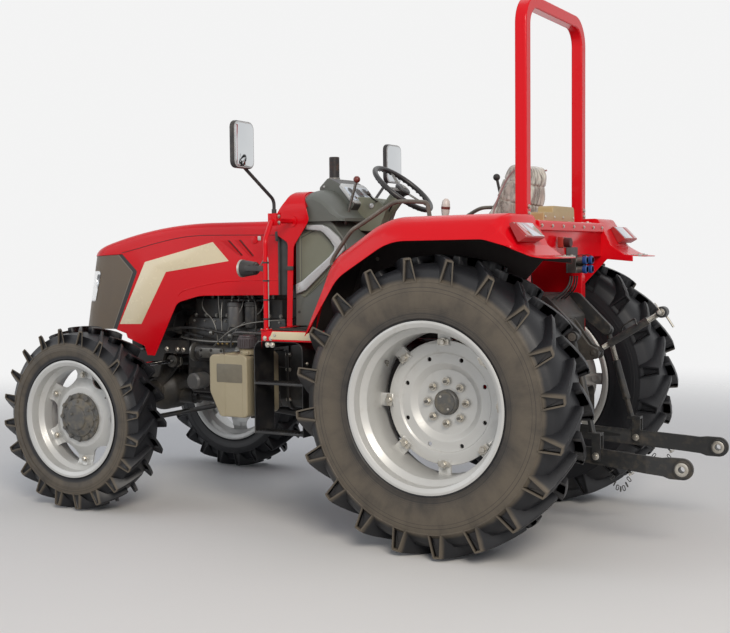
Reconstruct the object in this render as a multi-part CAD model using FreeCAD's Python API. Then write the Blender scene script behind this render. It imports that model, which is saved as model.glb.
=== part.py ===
import FreeCAD, Part
import math
import os

# Farm tractor, four-wheel drive, open platform with a roll-over hoop.
# Millimetres. X points forward, Y to the driver's left, Z up. Lengths along X are
# written from the rear axle, and save() moves each piece to the frame's origin,
# which is on the ground below the middle of the tractor.

V = FreeCAD.Vector

# Overall layout
WHEELBASE = 2240
REAR_TRACK = 1448
FRONT_TRACK = 1516
FRONT_REACH = 2790
REAR_REACH = 1105
FRAME_SHIFT = (REAR_REACH - FRONT_REACH) / 2

# Wheels and tyres
LUGS_PER_SIDE = 20
REAR_TYRE_RADIUS = 710
REAR_TYRE_HALF_WIDTH = 188
REAR_LUG_HEIGHT = 38
REAR_RIM_SEAT_RADIUS = 381
REAR_RIM_HALF_WIDTH = 178
FRONT_TYRE_RADIUS = 515
FRONT_TYRE_HALF_WIDTH = 121
FRONT_LUG_HEIGHT = 32
FRONT_RIM_SEAT_RADIUS = 305
FRONT_RIM_HALF_WIDTH = 114
BEAD_CLEARANCE = 3
RIM_THICKNESS = 7

# Fits
RUNNING_FIT = 0.05
SEAT_GAP = 0.3
FREE_GAP = 6

# Axles and steering
AXLE_SHAFT_RADIUS = 45
REAR_HOUSING_END = 560
KINGPIN_Y = 568
BEAM_Z = 600
BEAM_RADIUS = 62
KINGPIN_RADIUS = 28
SPINDLE_RADIUS = 60
STEER_ARM = 170
TIE_ROD_Z = 470
TIE_ROD_RADIUS = 15
CYLINDER_Z = 790
CYLINDER_ROD_RADIUS = 14
CYLINDER_BARREL_RADIUS = 34

# Chassis
GEARBOX_FRONT = 1190
ENGINE_FRONT = 1960
SHAFT_BACK_Z = 480
SHAFT_FRONT_Z = 560
FLOOR_Z = 1030
FLOOR_THICKNESS = 5
PLATFORM_HALF_WIDTH = 660
SILL_FRONT = 1072
COWL_STEP = 400

# Bodywork
SHEET = 5
HOOD_REAR = 1185
HOOD_HALF_WIDTH = 320
COWL_FRONT = 1175

# Linkage
ROCKSHAFT_X = -240
ROCKSHAFT_Z = 1150
ROCKSHAFT_RADIUS = 32
LIFT_PIN_X = -498
LIFT_PIN_Z = 1014
LIFT_PIN_RADIUS = 12
LIFT_ARM_Y = 235
LINK_PIVOT_X = -185
LINK_PIVOT_Z = 480
LINK_PIVOT_Y = 275
LINK_EYE_X = -1055
LINK_EYE_Y = 350
LINK_EYE_Z = 425
LINK_BORE_RADIUS = 14
LINK_EYE_BORE_RADIUS = 14.35
STABILISER_Y = 428
STABILISER_PIN_RADIUS = 10
TOP_LINK_X = -520
TOP_LINK_Z = 919
TOP_LINK_END_X = -860
TOP_LINK_END_Z = 1128
TOP_LINK_BORE_RADIUS = 12.8

PTO_Z = 640

# Roll-over hoop
ROPS_X = -290
ROPS_HALF_SPAN = 393
ROPS_TUBE = 60
ROPS_TOP = 2668


def corner_arcs(rows):
    """Trim each corner (first, second coordinate, radius) to its arc: start, middle, end."""
    points = [V(row[0], row[1], 0) for row in rows]
    arcs = []
    for i, row in enumerate(rows):
        radius = row[2] if len(row) > 2 else 0
        corner = points[i]
        if radius == 0:
            arcs.append((corner, None, corner))
            continue
        before = (points[i - 1] - corner).normalize()
        after = (points[(i + 1) % len(points)] - corner).normalize()
        half = before.getAngle(after) / 2
        reach = radius / math.tan(half)
        middle = corner + (before + after).normalize() * (radius / math.sin(half) - radius)
        arcs.append((corner + before * reach, middle, corner + after * reach))
    return arcs


def outline(rows, place):
    """Closed wire with rounded corners, set in space by place()."""
    arcs = corner_arcs(rows)
    edges = []
    for i, (enter, middle, leave) in enumerate(arcs):
        if middle is not None:
            edges.append(Part.Arc(place(enter), place(middle), place(leave)).toShape())
        following = arcs[(i + 1) % len(arcs)][0]
        if (following - leave).Length > 0.01:
            edges.append(Part.makeLine(place(leave), place(following)))
    return Part.Wire(edges)


VIEWS = {
    "side": lambda p, depth: V(p.x, depth, p.y),
    "front": lambda p, depth: V(depth, p.x, p.y),
    "plan": lambda p, depth: V(p.x, p.y, depth),
}


def prism(view, rows, start, end):
    """Outline drawn in one view and drawn out between two depths."""
    place = VIEWS[view]
    wire = outline(rows, lambda p: place(p, start))
    return Part.Face(wire).extrude(place(V(0, 0, 0), end) - place(V(0, 0, 0), start))


def parallel(rows, gap):
    """Open line of corners moved to its left by a gap; the corner radii follow."""
    points = [V(row[0], row[1], 0) for row in rows]
    moved = []
    for i, point in enumerate(points):
        before = point - points[i - 1] if i else points[1] - point
        after = points[i + 1] - point if i + 1 < len(points) else before
        left = V(-before.y, before.x, 0).normalize()
        mitre = (left + V(-after.y, after.x, 0).normalize()).normalize()
        step = mitre * (gap / mitre.dot(left))
        bends_left = before.cross(after).z > 0
        radius = rows[i][2] and rows[i][2] + (-gap if bends_left else gap)
        moved.append((point.x + step.x, point.y + step.y, radius))
    return moved


def box(x0, x1, y0, y1, z0, z1):
    return Part.makeBox(x1 - x0, y1 - y0, z1 - z0, V(x0, y0, z0))


def rod(start, end, radius):
    """Round bar between two points."""
    start = V(*start)
    end = V(*end)
    return Part.makeCylinder(radius, (end - start).Length, start, end - start)


def spun(rows, centre=(0, 0, 0)):
    """Solid of revolution about a cross-wise axis; columns: across, radius, corner radius."""
    wire = outline(rows, lambda p: V(0, p.x, p.y))
    solid = Part.Face(wire).revolve(V(0, 0, 0), V(0, 1, 0), 360)
    solid.translate(V(*centre))
    return solid


def bent_tube(rows, radius):
    """Round tube through corners; columns: x, y, z, bend radius."""
    points = [V(*row[:3]) for row in rows]
    edges = []
    last = points[0]
    for i in range(1, len(rows) - 1):
        corner = points[i]
        before = (points[i - 1] - corner).normalize()
        after = (points[i + 1] - corner).normalize()
        half = before.getAngle(after) / 2
        bend = rows[i][3]
        reach = bend / math.tan(half)
        middle = corner + (before + after).normalize() * (bend / math.sin(half) - bend)
        enter = corner + before * reach
        leave = corner + after * reach
        edges.append(Part.makeLine(last, enter))
        edges.append(Part.Arc(enter, middle, leave).toShape())
        last = leave
    edges.append(Part.makeLine(last, points[-1]))
    ring = Part.Wire(Part.Circle(points[0], points[1] - points[0], radius).toShape())
    return Part.Wire(edges).makePipeShell([ring], True, True)


def fused(*shapes):
    return shapes[0].multiFuse(list(shapes[1:])).removeSplitter() if len(shapes) > 1 else shapes[0]


def other_side(shape):
    return shape.mirror(V(0, 0, 0), V(0, 1, 0))


def pair(shape):
    """The piece and its mirror image, as one compound."""
    return Part.makeCompound([shape, other_side(shape)])


def save(name, shape):
    moved = shape.copy()
    moved.translate(V(FRAME_SHIFT, 0, 0))
    moved.exportStep("parts/" + name + ".step")


# Tyres

def lugged_tyre(radius, half_width, lug_height, rim_seat, rim_half_width, section_radius):
    """Tyre with two rows of bent lugs, half a pitch apart, as one closed many-sided shell.

    Each lug runs from its nose on the centre line back to its foot on the sidewall.
    """
    floor = radius - lug_height
    shoulder_drop = 0.045 * radius
    # columns: across, floor radius, tip radius, sweep, half angle at tip, half angle at base
    stations = [
        (0, floor, radius, 0, 1.9, 3.0),
        (0.50 * half_width, floor - 4, radius - 4, -7.5, 2.0, 3.2),
        (0.94 * half_width, floor - shoulder_drop, radius - shoulder_drop, -11.5, 2.6, 3.9),
        (half_width, floor - 2.7 * shoulder_drop, None, -11.5, 0, 3.6),
    ]
    # columns: across, radius
    walls = [
        (0.985 * half_width, section_radius),
        (rim_half_width - 16, rim_seat + BEAD_CLEARANCE),
    ]
    pitch = 360 / LUGS_PER_SIDE
    nose_phase = -stations[0][4]
    points = []
    number = {}
    triangles = []

    def add(side, lug, ring, edge, across, reach, angle):
        stagger = 0 if side > 0 else pitch / 2
        turn = math.radians(nose_phase + lug * pitch + stagger + angle)
        number[(side, lug, ring, edge)] = len(points)
        points.append(V(reach * math.sin(turn), side * across, reach * math.cos(turn)))

    def face(side, *corners):
        ids = [number[corner] for corner in corners]
        if side < 0:
            ids.reverse()
        for i in range(1, len(ids) - 1):
            triangles.append((ids[0], ids[i], ids[i + 1]))

    sweep_out, base_out = stations[-1][3], stations[-1][5]
    for side in (1, -1):
        for lug in range(LUGS_PER_SIDE):
            for ring, (across, bottom, tip, sweep, top, base) in enumerate(stations):
                add(side, lug, ring, "lead", across, bottom, sweep + base)
                add(side, lug, ring, "trail", across, bottom, sweep - base)
                if tip:
                    add(side, lug, ring, "tip lead", across, tip, sweep + top)
                    add(side, lug, ring, "tip trail", across, tip, sweep - top)
            for ring, (across, reach) in enumerate(walls, len(stations)):
                add(side, lug, ring, "lead", across, reach, sweep_out + base_out)
                add(side, lug, ring, "trail", across, reach, sweep_out - base_out)

    bead = len(stations) + len(walls) - 1
    for side in (1, -1):
        for lug in range(LUGS_PER_SIDE):
            ahead = (lug + 1) % LUGS_PER_SIDE
            across_lug = lug if side > 0 else ahead

            def at(ring, edge, which=lug):
                return (side, which, ring, edge)

            face(side, at(0, "lead"), at(0, "trail"), at(0, "tip trail"), at(0, "tip lead"))
            for inner, outer in ((0, 1), (1, 2)):
                face(side, at(inner, "tip lead"), at(inner, "tip trail"),
                     at(outer, "tip trail"), at(outer, "tip lead"))
                face(side, at(inner, "lead"), at(inner, "tip lead"),
                     at(outer, "tip lead"), at(outer, "lead"))
                face(side, at(inner, "tip trail"), at(inner, "trail"),
                     at(outer, "trail"), at(outer, "tip trail"))
            face(side, at(0, "lead"), at(1, "lead"), at(1, "trail", ahead), at(0, "trail", ahead),
                 (-side, across_lug, 0, "lead"), (-side, across_lug, 0, "trail"))
            face(side, at(1, "lead"), at(2, "lead"), at(2, "trail", ahead), at(1, "trail", ahead))
            face(side, at(2, "tip lead"), at(2, "tip trail"), at(3, "trail"), at(3, "lead"))
            face(side, at(2, "lead"), at(2, "tip lead"), at(3, "lead"))
            face(side, at(2, "tip trail"), at(2, "trail"), at(3, "trail"))
            face(side, at(2, "lead"), at(3, "lead"), at(3, "trail", ahead), at(2, "trail", ahead))
            for inner in range(len(stations) - 1, bead):
                outer = inner + 1
                face(side, at(inner, "lead"), at(inner, "trail"), at(outer, "trail"), at(outer, "lead"))
                face(side, at(inner, "lead"), at(outer, "lead"),
                     at(outer, "trail", ahead), at(inner, "trail", ahead))
    for lug in range(LUGS_PER_SIDE):
        ahead = (lug + 1) % LUGS_PER_SIDE
        face(1, (1, lug, bead, "lead"), (1, lug, bead, "trail"),
             (-1, lug, bead, "trail"), (-1, lug, bead, "lead"))
        face(1, (1, lug, bead, "lead"), (-1, lug, bead, "lead"),
             (-1, ahead, bead, "trail"), (1, ahead, bead, "trail"))

    skin = Part.Shape()
    skin.makeShapeFromMesh((points, triangles), 0.01)
    return Part.Solid(skin)


def rim_rows(seat, half_width, well):
    """Rolled rim: columns across, radius, corner radius; flanges lean outwards."""
    t = RIM_THICKNESS
    lip = seat + 26
    return [
        (half_width - 14, seat, 4),
        (half_width - 3, lip, 3),
        (half_width, lip, 2),
        (half_width, lip - 12, 2),
        (half_width - 9, seat - t, 4),
        (half_width - 60, seat - t, 4),
        (half_width - 84, well - t, 4),
        (84 - half_width, well - t, 4),
        (60 - half_width, seat - t, 4),
        (9 - half_width, seat - t, 4),
        (-half_width, lip - 12, 2),
        (-half_width, lip, 2),
        (3 - half_width, lip, 3),
        (14 - half_width, seat, 4),
        (57 - half_width, seat, 4),
        (81 - half_width, well, 4),
        (half_width - 81, well, 4),
        (half_width - 57, seat, 4),
    ]


def round_pattern(shape, count, first=0):
    """Copies of a piece spaced evenly round the wheel's own axis."""
    copies = []
    for i in range(count):
        copy = shape.copy()
        copy.rotate(V(0, 0, 0), V(0, 1, 0), first + i * 360 / count)
        copies.append(copy)
    return copies


# Rear wheel, drawn with its outer side towards +Y and its centre at the origin

REAR_WELL_RADIUS = 352
REAR_DISC_FACE = -62
REAR_DISC_RADIUS = 302
REAR_HUB_FACE = -92
REAR_BOLT_CIRCLE = 101.6
WHEEL_TABS = 8


def rear_wheel():
    rim = spun(rim_rows(REAR_RIM_SEAT_RADIUS, REAR_RIM_HALF_WIDTH, REAR_WELL_RADIUS))
    face = REAR_DISC_FACE
    back = REAR_HUB_FACE
    # columns: across, radius, corner radius
    disc = spun([
        (back, 62, 0), (back + 9, 62, 0), (back + 9, 158, 5), (face, 190, 5), (face, 236, 4),
        (face + 9, 244, 4), (face + 9, REAR_DISC_RADIUS, 3), (face, REAR_DISC_RADIUS, 0),
        (face - 9, 240, 4), (face - 9, 192, 5), (back, 162, 5),
    ])
    hole = Part.makeCylinder(11, 60, V(0, back - 20, 222), V(0, 1, 0))
    disc = disc.cut(Part.makeCompound(round_pattern(hole, WHEEL_TABS, 360 / WHEEL_TABS / 2)))
    lug_hole = Part.makeCylinder(10, 60, V(0, back - 20, REAR_BOLT_CIRCLE), V(0, 1, 0))
    disc = disc.cut(Part.makeCompound(round_pattern(lug_hole, WHEEL_TABS)))
    tab_top = REAR_WELL_RADIUS - RIM_THICKNESS + 3
    tab = box(-32, 32, face, face + 14, REAR_DISC_RADIUS - 26, tab_top)
    knob = Part.makeCylinder(17, 30, V(0, face - 8, REAR_DISC_RADIUS - 8), V(0, 1, 0))
    return fused(rim, disc, *round_pattern(tab, WHEEL_TABS), *round_pattern(knob, WHEEL_TABS))


def rear_hub():
    """Half-shaft with its wheel flange, studs and dust cap."""
    back = REAR_HUB_FACE
    shaft_in = -(REAR_TRACK / 2 - REAR_HOUSING_END) - 75
    shaft = spun([
        (shaft_in, 0, 0), (shaft_in, AXLE_SHAFT_RADIUS, 0), (back - 34, AXLE_SHAFT_RADIUS, 6),
        (back - 22, 130, 6), (back, 130, 0), (back, 61, 0), (back + 30, 61, 6),
        (back + 36, 50, 4), (back + 36, 0, 0),
    ])
    stud = Part.makeCylinder(9, 30, V(0, back - 4, REAR_BOLT_CIRCLE), V(0, 1, 0))
    nut = Part.makeCylinder(14, 12, V(0, back + 9, REAR_BOLT_CIRCLE), V(0, 1, 0))
    return fused(shaft, *round_pattern(stud, WHEEL_TABS), *round_pattern(nut, WHEEL_TABS))


# Front wheel

FRONT_WELL_RADIUS = 282
FRONT_DISC_FACE = 20
FRONT_HUB_RADIUS = 138
FRONT_LOBES = 6


def front_wheel():
    rim = spun(rim_rows(FRONT_RIM_SEAT_RADIUS, FRONT_RIM_HALF_WIDTH, FRONT_WELL_RADIUS))
    face = FRONT_DISC_FACE
    well = FRONT_WELL_RADIUS - RIM_THICKNESS + 2
    disc = spun([
        (face - 8, 112, 0), (face, 112, 0), (face, 168, 6), (face - 34, 222, 8),
        (face - 34, 250, 6), (face - 20, well, 0), (face - 28, well, 0),
        (face - 42, 252, 6), (face - 42, 220, 8), (face - 8, 166, 6),
    ])
    gap = Part.makeCylinder(92, 120, V(0, face - 80, 290), V(0, 1, 0))
    disc = disc.cut(Part.makeCompound(round_pattern(gap, FRONT_LOBES, 180 / FRONT_LOBES)))
    bolt = Part.makeCylinder(14, 26, V(0, face - 46, 240), V(0, 1, 0))
    return fused(rim, disc, *round_pattern(bolt, FRONT_LOBES))


def front_hub():
    """Final-drive hub that carries the front wheel and turns on the knuckle's spindle."""
    face = FRONT_DISC_FACE
    body = spun([
        (face - 62, SPINDLE_RADIUS + RUNNING_FIT, 0), (face - 62, 104, 6), (face - 30, 111, 0),
        (face - 26, FRONT_HUB_RADIUS, 4), (face - 8 - SEAT_GAP, FRONT_HUB_RADIUS, 3),
        (face - 8 - SEAT_GAP, 111, 0), (face + 20, 111, 8), (face + 34, 70, 6),
        (face + 46, 66, 6), (face + 46, 0, 0), (face + 30, 0, 0), (face + 30, 62, 0),
        (face - 2, 62, 0), (face - 2, SPINDLE_RADIUS + RUNNING_FIT, 0),
    ])
    ring = spun([
        (face + SEAT_GAP, 105, 0), (face + SEAT_GAP, 137, 3), (face + 14, 137, 4), (face + 14, 105, 0),
    ])
    nut = Part.makeCylinder(10, 14, V(0, face + 13, 123.5), V(0, 1, 0))
    return fused(body, ring, *round_pattern(nut, 12))


# Front axle and steering

def front_axle():
    """Beam with its pivot boss, drive housing, kingpin eyes and steering cylinder."""
    beam = rod((WHEELBASE, -KINGPIN_Y + 30, BEAM_Z), (WHEELBASE, KINGPIN_Y - 30, BEAM_Z), BEAM_RADIUS)
    bowl = spun([
        (-135, 0, 0), (-135, BEAM_RADIUS + 12, 10), (-70, 128, 40), (70, 128, 40),
        (135, BEAM_RADIUS + 12, 10), (135, 0, 0),
    ], (WHEELBASE, 0, BEAM_Z))
    nose = rod((WHEELBASE - 210, 0, SHAFT_FRONT_Z), (WHEELBASE, 0, SHAFT_FRONT_Z), 45)
    pivot = rod((WHEELBASE - 120, 0, BEAM_Z), (WHEELBASE + 190, 0, BEAM_Z), 55)
    stand = prism("side", [
        (WHEELBASE - 50, BEAM_Z + 20, 0), (WHEELBASE + 30, BEAM_Z + 40, 0), (WHEELBASE - 40, BEAM_Z + 140, 40),
        (WHEELBASE - 140, CYLINDER_Z + 45, 20), (WHEELBASE - 204, CYLINDER_Z + 45, 20),
        (WHEELBASE - 204, CYLINDER_Z - 15, 20),
    ], 118, 142)
    parts = [beam, bowl, nose, pivot, stand, other_side(stand), *steering_cylinder()]
    bores = [rod((WHEELBASE - STEER_ARM, -300, CYLINDER_Z), (WHEELBASE - STEER_ARM, 300, CYLINDER_Z),
                 CYLINDER_ROD_RADIUS + RUNNING_FIT)]
    for side in (1, -1):
        y = side * KINGPIN_Y
        parts.append(rod((WHEELBASE, y, BEAM_Z - 66), (WHEELBASE, y, BEAM_Z + 66), 60))
        bores.append(rod((WHEELBASE, y, BEAM_Z - 90), (WHEELBASE, y, BEAM_Z + 90),
                         KINGPIN_RADIUS + RUNNING_FIT))
    return fused(*parts).cut(Part.makeCompound(bores))


def knuckle():
    """Left knuckle: kingpin, drop housing, spindle, steering arms."""
    y = KINGPIN_Y
    hub_z = FRONT_TYRE_RADIUS
    top = BEAM_Z + 66 + FREE_GAP
    bottom = BEAM_Z - 66 - FREE_GAP
    pin = rod((WHEELBASE, y, bottom - 40), (WHEELBASE, y, top + 40), KINGPIN_RADIUS)
    cap_top = rod((WHEELBASE, y, top), (WHEELBASE, y, top + 58), 66)
    cap_low = rod((WHEELBASE, y, bottom - 96), (WHEELBASE, y, bottom), 66)
    back = y + 60 + FREE_GAP
    web = prism("front", [
        (y, top, 0), (y, top + 40, 0), (back + 10, top + 40, 14), (back + 34, top + 4, 14),
        (back + 34, bottom - 88, 14), (y, bottom - 88, 0), (y, bottom, 0), (back, bottom, 0),
        (back, top, 0),
    ], WHEELBASE - 58, WHEELBASE + 58)
    inboard = FRONT_TRACK / 2 + FRONT_DISC_FACE
    drum = rod((WHEELBASE, back + 4, hub_z), (WHEELBASE, inboard - 72, hub_z), 98)
    spindle = rod((WHEELBASE, back + 4, hub_z), (WHEELBASE, inboard - 8, hub_z), SPINDLE_RADIUS)
    arm_x = WHEELBASE - STEER_ARM
    low_arm = prism("plan", [
        (WHEELBASE, y - 44, 0), (WHEELBASE, y + 44, 0), (arm_x, y + 26, 26), (arm_x - 27, y + 26, 26),
        (arm_x - 27, y - 26, 26), (arm_x, y - 26, 26),
    ], TIE_ROD_Z + 22, TIE_ROD_Z + 44)
    high_arm = prism("plan", [
        (WHEELBASE, y - 44, 0), (WHEELBASE, y + 44, 0), (arm_x, y + 26, 26), (arm_x - 27, y + 26, 26),
        (arm_x - 27, y - 26, 26), (arm_x, y - 26, 26),
    ], top + 34, top + 56)
    stud = rod((arm_x, y, top + 50), (arm_x, y, CYLINDER_Z - 18 - FREE_GAP), 20)
    return fused(pin, cap_top, cap_low, web, drum, spindle, low_arm, high_arm, stud)


def tie_rod():
    """Track rod between the two lower arms, hung on a pin at each ball."""
    x = WHEELBASE - STEER_ARM
    parts = [rod((x, -KINGPIN_Y, TIE_ROD_Z), (x, KINGPIN_Y, TIE_ROD_Z), TIE_ROD_RADIUS)]
    for side in (1, -1):
        y = side * KINGPIN_Y
        parts.append(rod((x, y, TIE_ROD_Z - 26), (x, y, TIE_ROD_Z + 22 - SEAT_GAP), 26))
        parts.append(rod((x, y - side * 100, TIE_ROD_Z), (x, y, TIE_ROD_Z), 19))
    return fused(*parts)


def steering_cylinder():
    x = WHEELBASE - STEER_ARM
    z = CYLINDER_Z
    barrel = rod((x, -150, z), (x, 150, z), CYLINDER_BARREL_RADIUS)
    ends = [rod((x, side * 150, z), (x, side * 178, z), CYLINDER_BARREL_RADIUS + 5) for side in (1, -1)]
    return [barrel, *ends]


def cylinder_rod():
    x = WHEELBASE - STEER_ARM
    z = CYLINDER_Z
    parts = [rod((x, -KINGPIN_Y + 30, z), (x, KINGPIN_Y - 30, z), CYLINDER_ROD_RADIUS)]
    for side in (1, -1):
        y = side * KINGPIN_Y
        parts.append(rod((x, y, z - 18), (x, y, z + 18), 34))
        parts.append(rod((x, y - side * 90, z), (x, y - side * 20, z), 20))
    holes = [rod((x, side * KINGPIN_Y, z - 30), (x, side * KINGPIN_Y, z + 30), 12) for side in (1, -1)]
    return fused(*parts).cut(Part.makeCompound(holes))


# Chassis castings

def engine():
    """Four-cylinder engine block with sump, head, cover, pump and filters."""
    back = GEARBOX_FRONT
    front = ENGINE_FRONT
    block = prism("front", [
        (-175, 610, 20), (175, 610, 20), (190, 760, 10), (165, 1060, 10), (-165, 1060, 10),
        (-190, 760, 10),
    ], back + 60, front - 40)
    flywheel = prism("front", [
        (-225, 560, 60), (225, 560, 60), (225, 1000, 90), (-225, 1000, 90),
    ], back, back + 62)
    sump = prism("side", [
        (back + 70, 620, 0), (back + 90, 552, 24), (front - 360, 566, 40), (front - 60, 596, 20),
        (front - 50, 620, 0),
    ], -150, 150)
    head = box(back + 90, front - 60, -150, 150, 1055, 1170)
    cover = prism("front", [
        (-105, 1165, 0), (105, 1165, 0), (95, 1250, 28), (-95, 1250, 28),
    ], back + 110, front - 80)
    timing = prism("front", [
        (-160, 640, 40), (160, 640, 40), (140, 1080, 60), (-140, 1080, 60),
    ], front - 42, front)
    pulley = rod((front, 0, 740), (front + 34, 0, 740), 82)
    pump = rod((back + 330, 235, 860), (back + 620, 235, 860), 52)
    pump_seat = box(back + 380, back + 570, 150, 235, 820, 905)
    filters = []
    for x in (back + 250, back + 370):
        filters.append(rod((x, 215, 1010), (x, 215, 1160), 42))
        filters.append(box(x - 30, x + 30, 140, 215, 1120, 1150))
    manifold = box(back + 130, front - 120, -215, -145, 1075, 1140)
    alternator = rod((front - 220, -225, 940), (front - 50, -225, 940), 68)
    alternator_seat = box(front - 150, front - 60, -225, -140, 900, 980)
    return fused(block, flywheel, sump, head, cover, timing, pulley, pump, pump_seat,
                 *filters, manifold, alternator, alternator_seat, *fan())


def front_support():
    """Cast bolster that carries the axle pivot and radiator, ending in the tow carrier."""
    inner = 168
    rear = ENGINE_FRONT - 40 + SEAT_GAP
    rail = prism("side", [
        (rear, 840, 0), (WHEELBASE - 130, 840, 20), (WHEELBASE - 80, 690, 30),
        (FRONT_REACH - 190, 690, 30), (FRONT_REACH - 130, 640, 20), (FRONT_REACH - 20, 640, 20),
        (FRONT_REACH - 20, 850, 20), (WHEELBASE - 75, 850, 20), (WHEELBASE - 110, 920, 20),
        (rear, 920, 0),
    ], inner, inner + 26)
    rails = [rail, other_side(rail)]
    floor = box(WHEELBASE + 60, FRONT_REACH - 40, -inner - 5, inner + 5, 832, 850)
    front_plate = box(FRONT_REACH - 44, FRONT_REACH - 22, -inner - 5, inner + 5, 640, 850)
    jaw = []
    for z in (700, 780):
        jaw.append(prism("plan", [
            (FRONT_REACH - 30, -60, 0), (FRONT_REACH, -60, 24), (FRONT_REACH, 60, 24),
            (FRONT_REACH - 30, 60, 0),
        ], z, z + 20))
    front_hanger = box(WHEELBASE + 194, WHEELBASE + 224, -inner - 5, inner + 5, 560, 845)
    pivot_pin = rod((WHEELBASE + 190 + SEAT_GAP, 0, BEAM_Z), (WHEELBASE + 240, 0, BEAM_Z), 30)
    return fused(*rails, floor, front_plate, *jaw, front_hanger, pivot_pin)


def radiator():
    """Radiator with its fan shroud and the two buffers that the closed hood rests on."""
    core = box(2230, 2310, -255, 255, 870, 1395)
    tank = prism("front", [
        (-262, 1390, 0), (262, 1390, 0), (262, 1440, 24), (-262, 1440, 24),
    ], 2222, 2318)
    shroud = box(2170, 2232, -240, 240, 900, 1380).cut(rod((2160, 0, 1130), (2240, 0, 1130), 215))
    foot = box(2225, 2315, -150, 150, 850 + SEAT_GAP, 872)
    buffer = rod((2270, 150, 1430), (2270, 150, 1600), 14).common(hood_form(SHEET + SEAT_GAP))
    return fused(core, tank, shroud, foot, buffer, other_side(buffer))


def fan():
    """Fan with its hub on the front of the cylinder head."""
    hub = rod((ENGINE_FRONT - 80, 0, 1130), (2120, 0, 1130), 45)
    blades = []
    for i in range(7):
        blade = box(2100, 2106, -34, 34, 1160, 1130 + 195)
        blade.rotate(V(2103, 0, 1230), V(0, 0, 1), 28)
        blade.rotate(V(2103, 0, 1130), V(1, 0, 0), i * 360 / 7)
        blades.append(blade)
    return [hub, *blades]


LIFT_HOUSING = [
    (110, 1008, 0), (110, 1130, 40), (-150, 1215, 50), (-300, 1215, 40), (-400, 1100, 30),
    (-400, 1008, 0),
]


def transmission():
    """Gearbox and rear housing in line, with the lift housing on top."""
    clutch = prism("front", [
        (-225, 560, 60), (225, 560, 60), (225, 1000, 90), (-225, 1000, 90),
    ], 950, GEARBOX_FRONT)
    gearbox = prism("front", [
        (-180, 430, 30), (180, 430, 30), (190, 960, 40), (-190, 960, 40),
    ], 150, 950)
    rear = prism("front", [
        (-230, 420, 40), (230, 420, 40), (230, 1010, 40), (-230, 1010, 40),
    ], -330, 152)
    lift = prism("side", LIFT_HOUSING, -185, 185)
    drop_box = prism("side", [
        (420, 435, 0), (760, 435, 20), (760, 620, 40), (690, 660, 0), (420, 660, 0),
    ], -90, 90)
    bracket = []
    for side in (1, -1):
        bracket.append(prism("side", [
            (-395, 880, 0), (-330, 860, 0), (-330, 1050, 0), (-400, 1090, 0), (-500, 960, 20),
            (-550, 935, 20), (-550, 890, 20), (-480, 880, 10),
        ], side * 22, side * 40))
    pin = rod((TOP_LINK_X, -44, TOP_LINK_Z), (TOP_LINK_X, 44, TOP_LINK_Z),
              TOP_LINK_BORE_RADIUS - RUNNING_FIT)
    bore = rod((ROCKSHAFT_X, -300, ROCKSHAFT_Z), (ROCKSHAFT_X, 300, ROCKSHAFT_Z),
               ROCKSHAFT_RADIUS + RUNNING_FIT)
    pto_boss = rod((-320, 0, PTO_Z), (-362, 0, PTO_Z), 85)
    pto_collar = rod((-362, 0, PTO_Z), (-378, 0, PTO_Z), 40)
    pto_shaft = rod((-362, 0, PTO_Z), (-450, 0, PTO_Z), 17.5)
    body = fused(clutch, gearbox, rear, lift, drop_box, *bracket, pto_boss, pto_collar, pto_shaft)
    return fused(body.cut(bore), pin)


def axle_form(gap):
    """Outside of the left axle housing, grown by a gap for the pieces clamped on it."""
    end = REAR_HOUSING_END
    return spun([
        (230, 0, 0), (230, 150 + gap, 0), (256, 150 + gap, 6), (264, 122 + gap, 8),
        (420, 96 + gap, 10), (end - 40, 92 + gap, 4), (end - 34, 112 + gap, 4), (end, 112 + gap, 4),
        (end, 0, 0),
    ], (0, 0, REAR_TYRE_RADIUS))


def rear_axle():
    """Axle housings with their bearing ends, bored for the half-shafts."""
    end = REAR_HOUSING_END
    bore = rod((0, end - 90, REAR_TYRE_RADIUS), (0, end + 10, REAR_TYRE_RADIUS),
               AXLE_SHAFT_RADIUS + RUNNING_FIT)
    return pair(axle_form(0).cut(bore))


def drive_shaft():
    """Shaft below the engine from the transfer box to the front axle."""
    back = 950 + SEAT_GAP
    front = WHEELBASE - 210 - SEAT_GAP
    tube = rod((back + 20, 0, SHAFT_BACK_Z), (front - 20, 0, SHAFT_FRONT_Z), 22)
    back_yoke = rod((back, 0, SHAFT_BACK_Z), (back + 34, 0, SHAFT_BACK_Z), 40)
    front_yoke = rod((front - 34, 0, SHAFT_FRONT_Z), (front, 0, SHAFT_FRONT_Z), 40)
    return fused(tube, back_yoke, front_yoke)


# Platform, steps, tank

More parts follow.
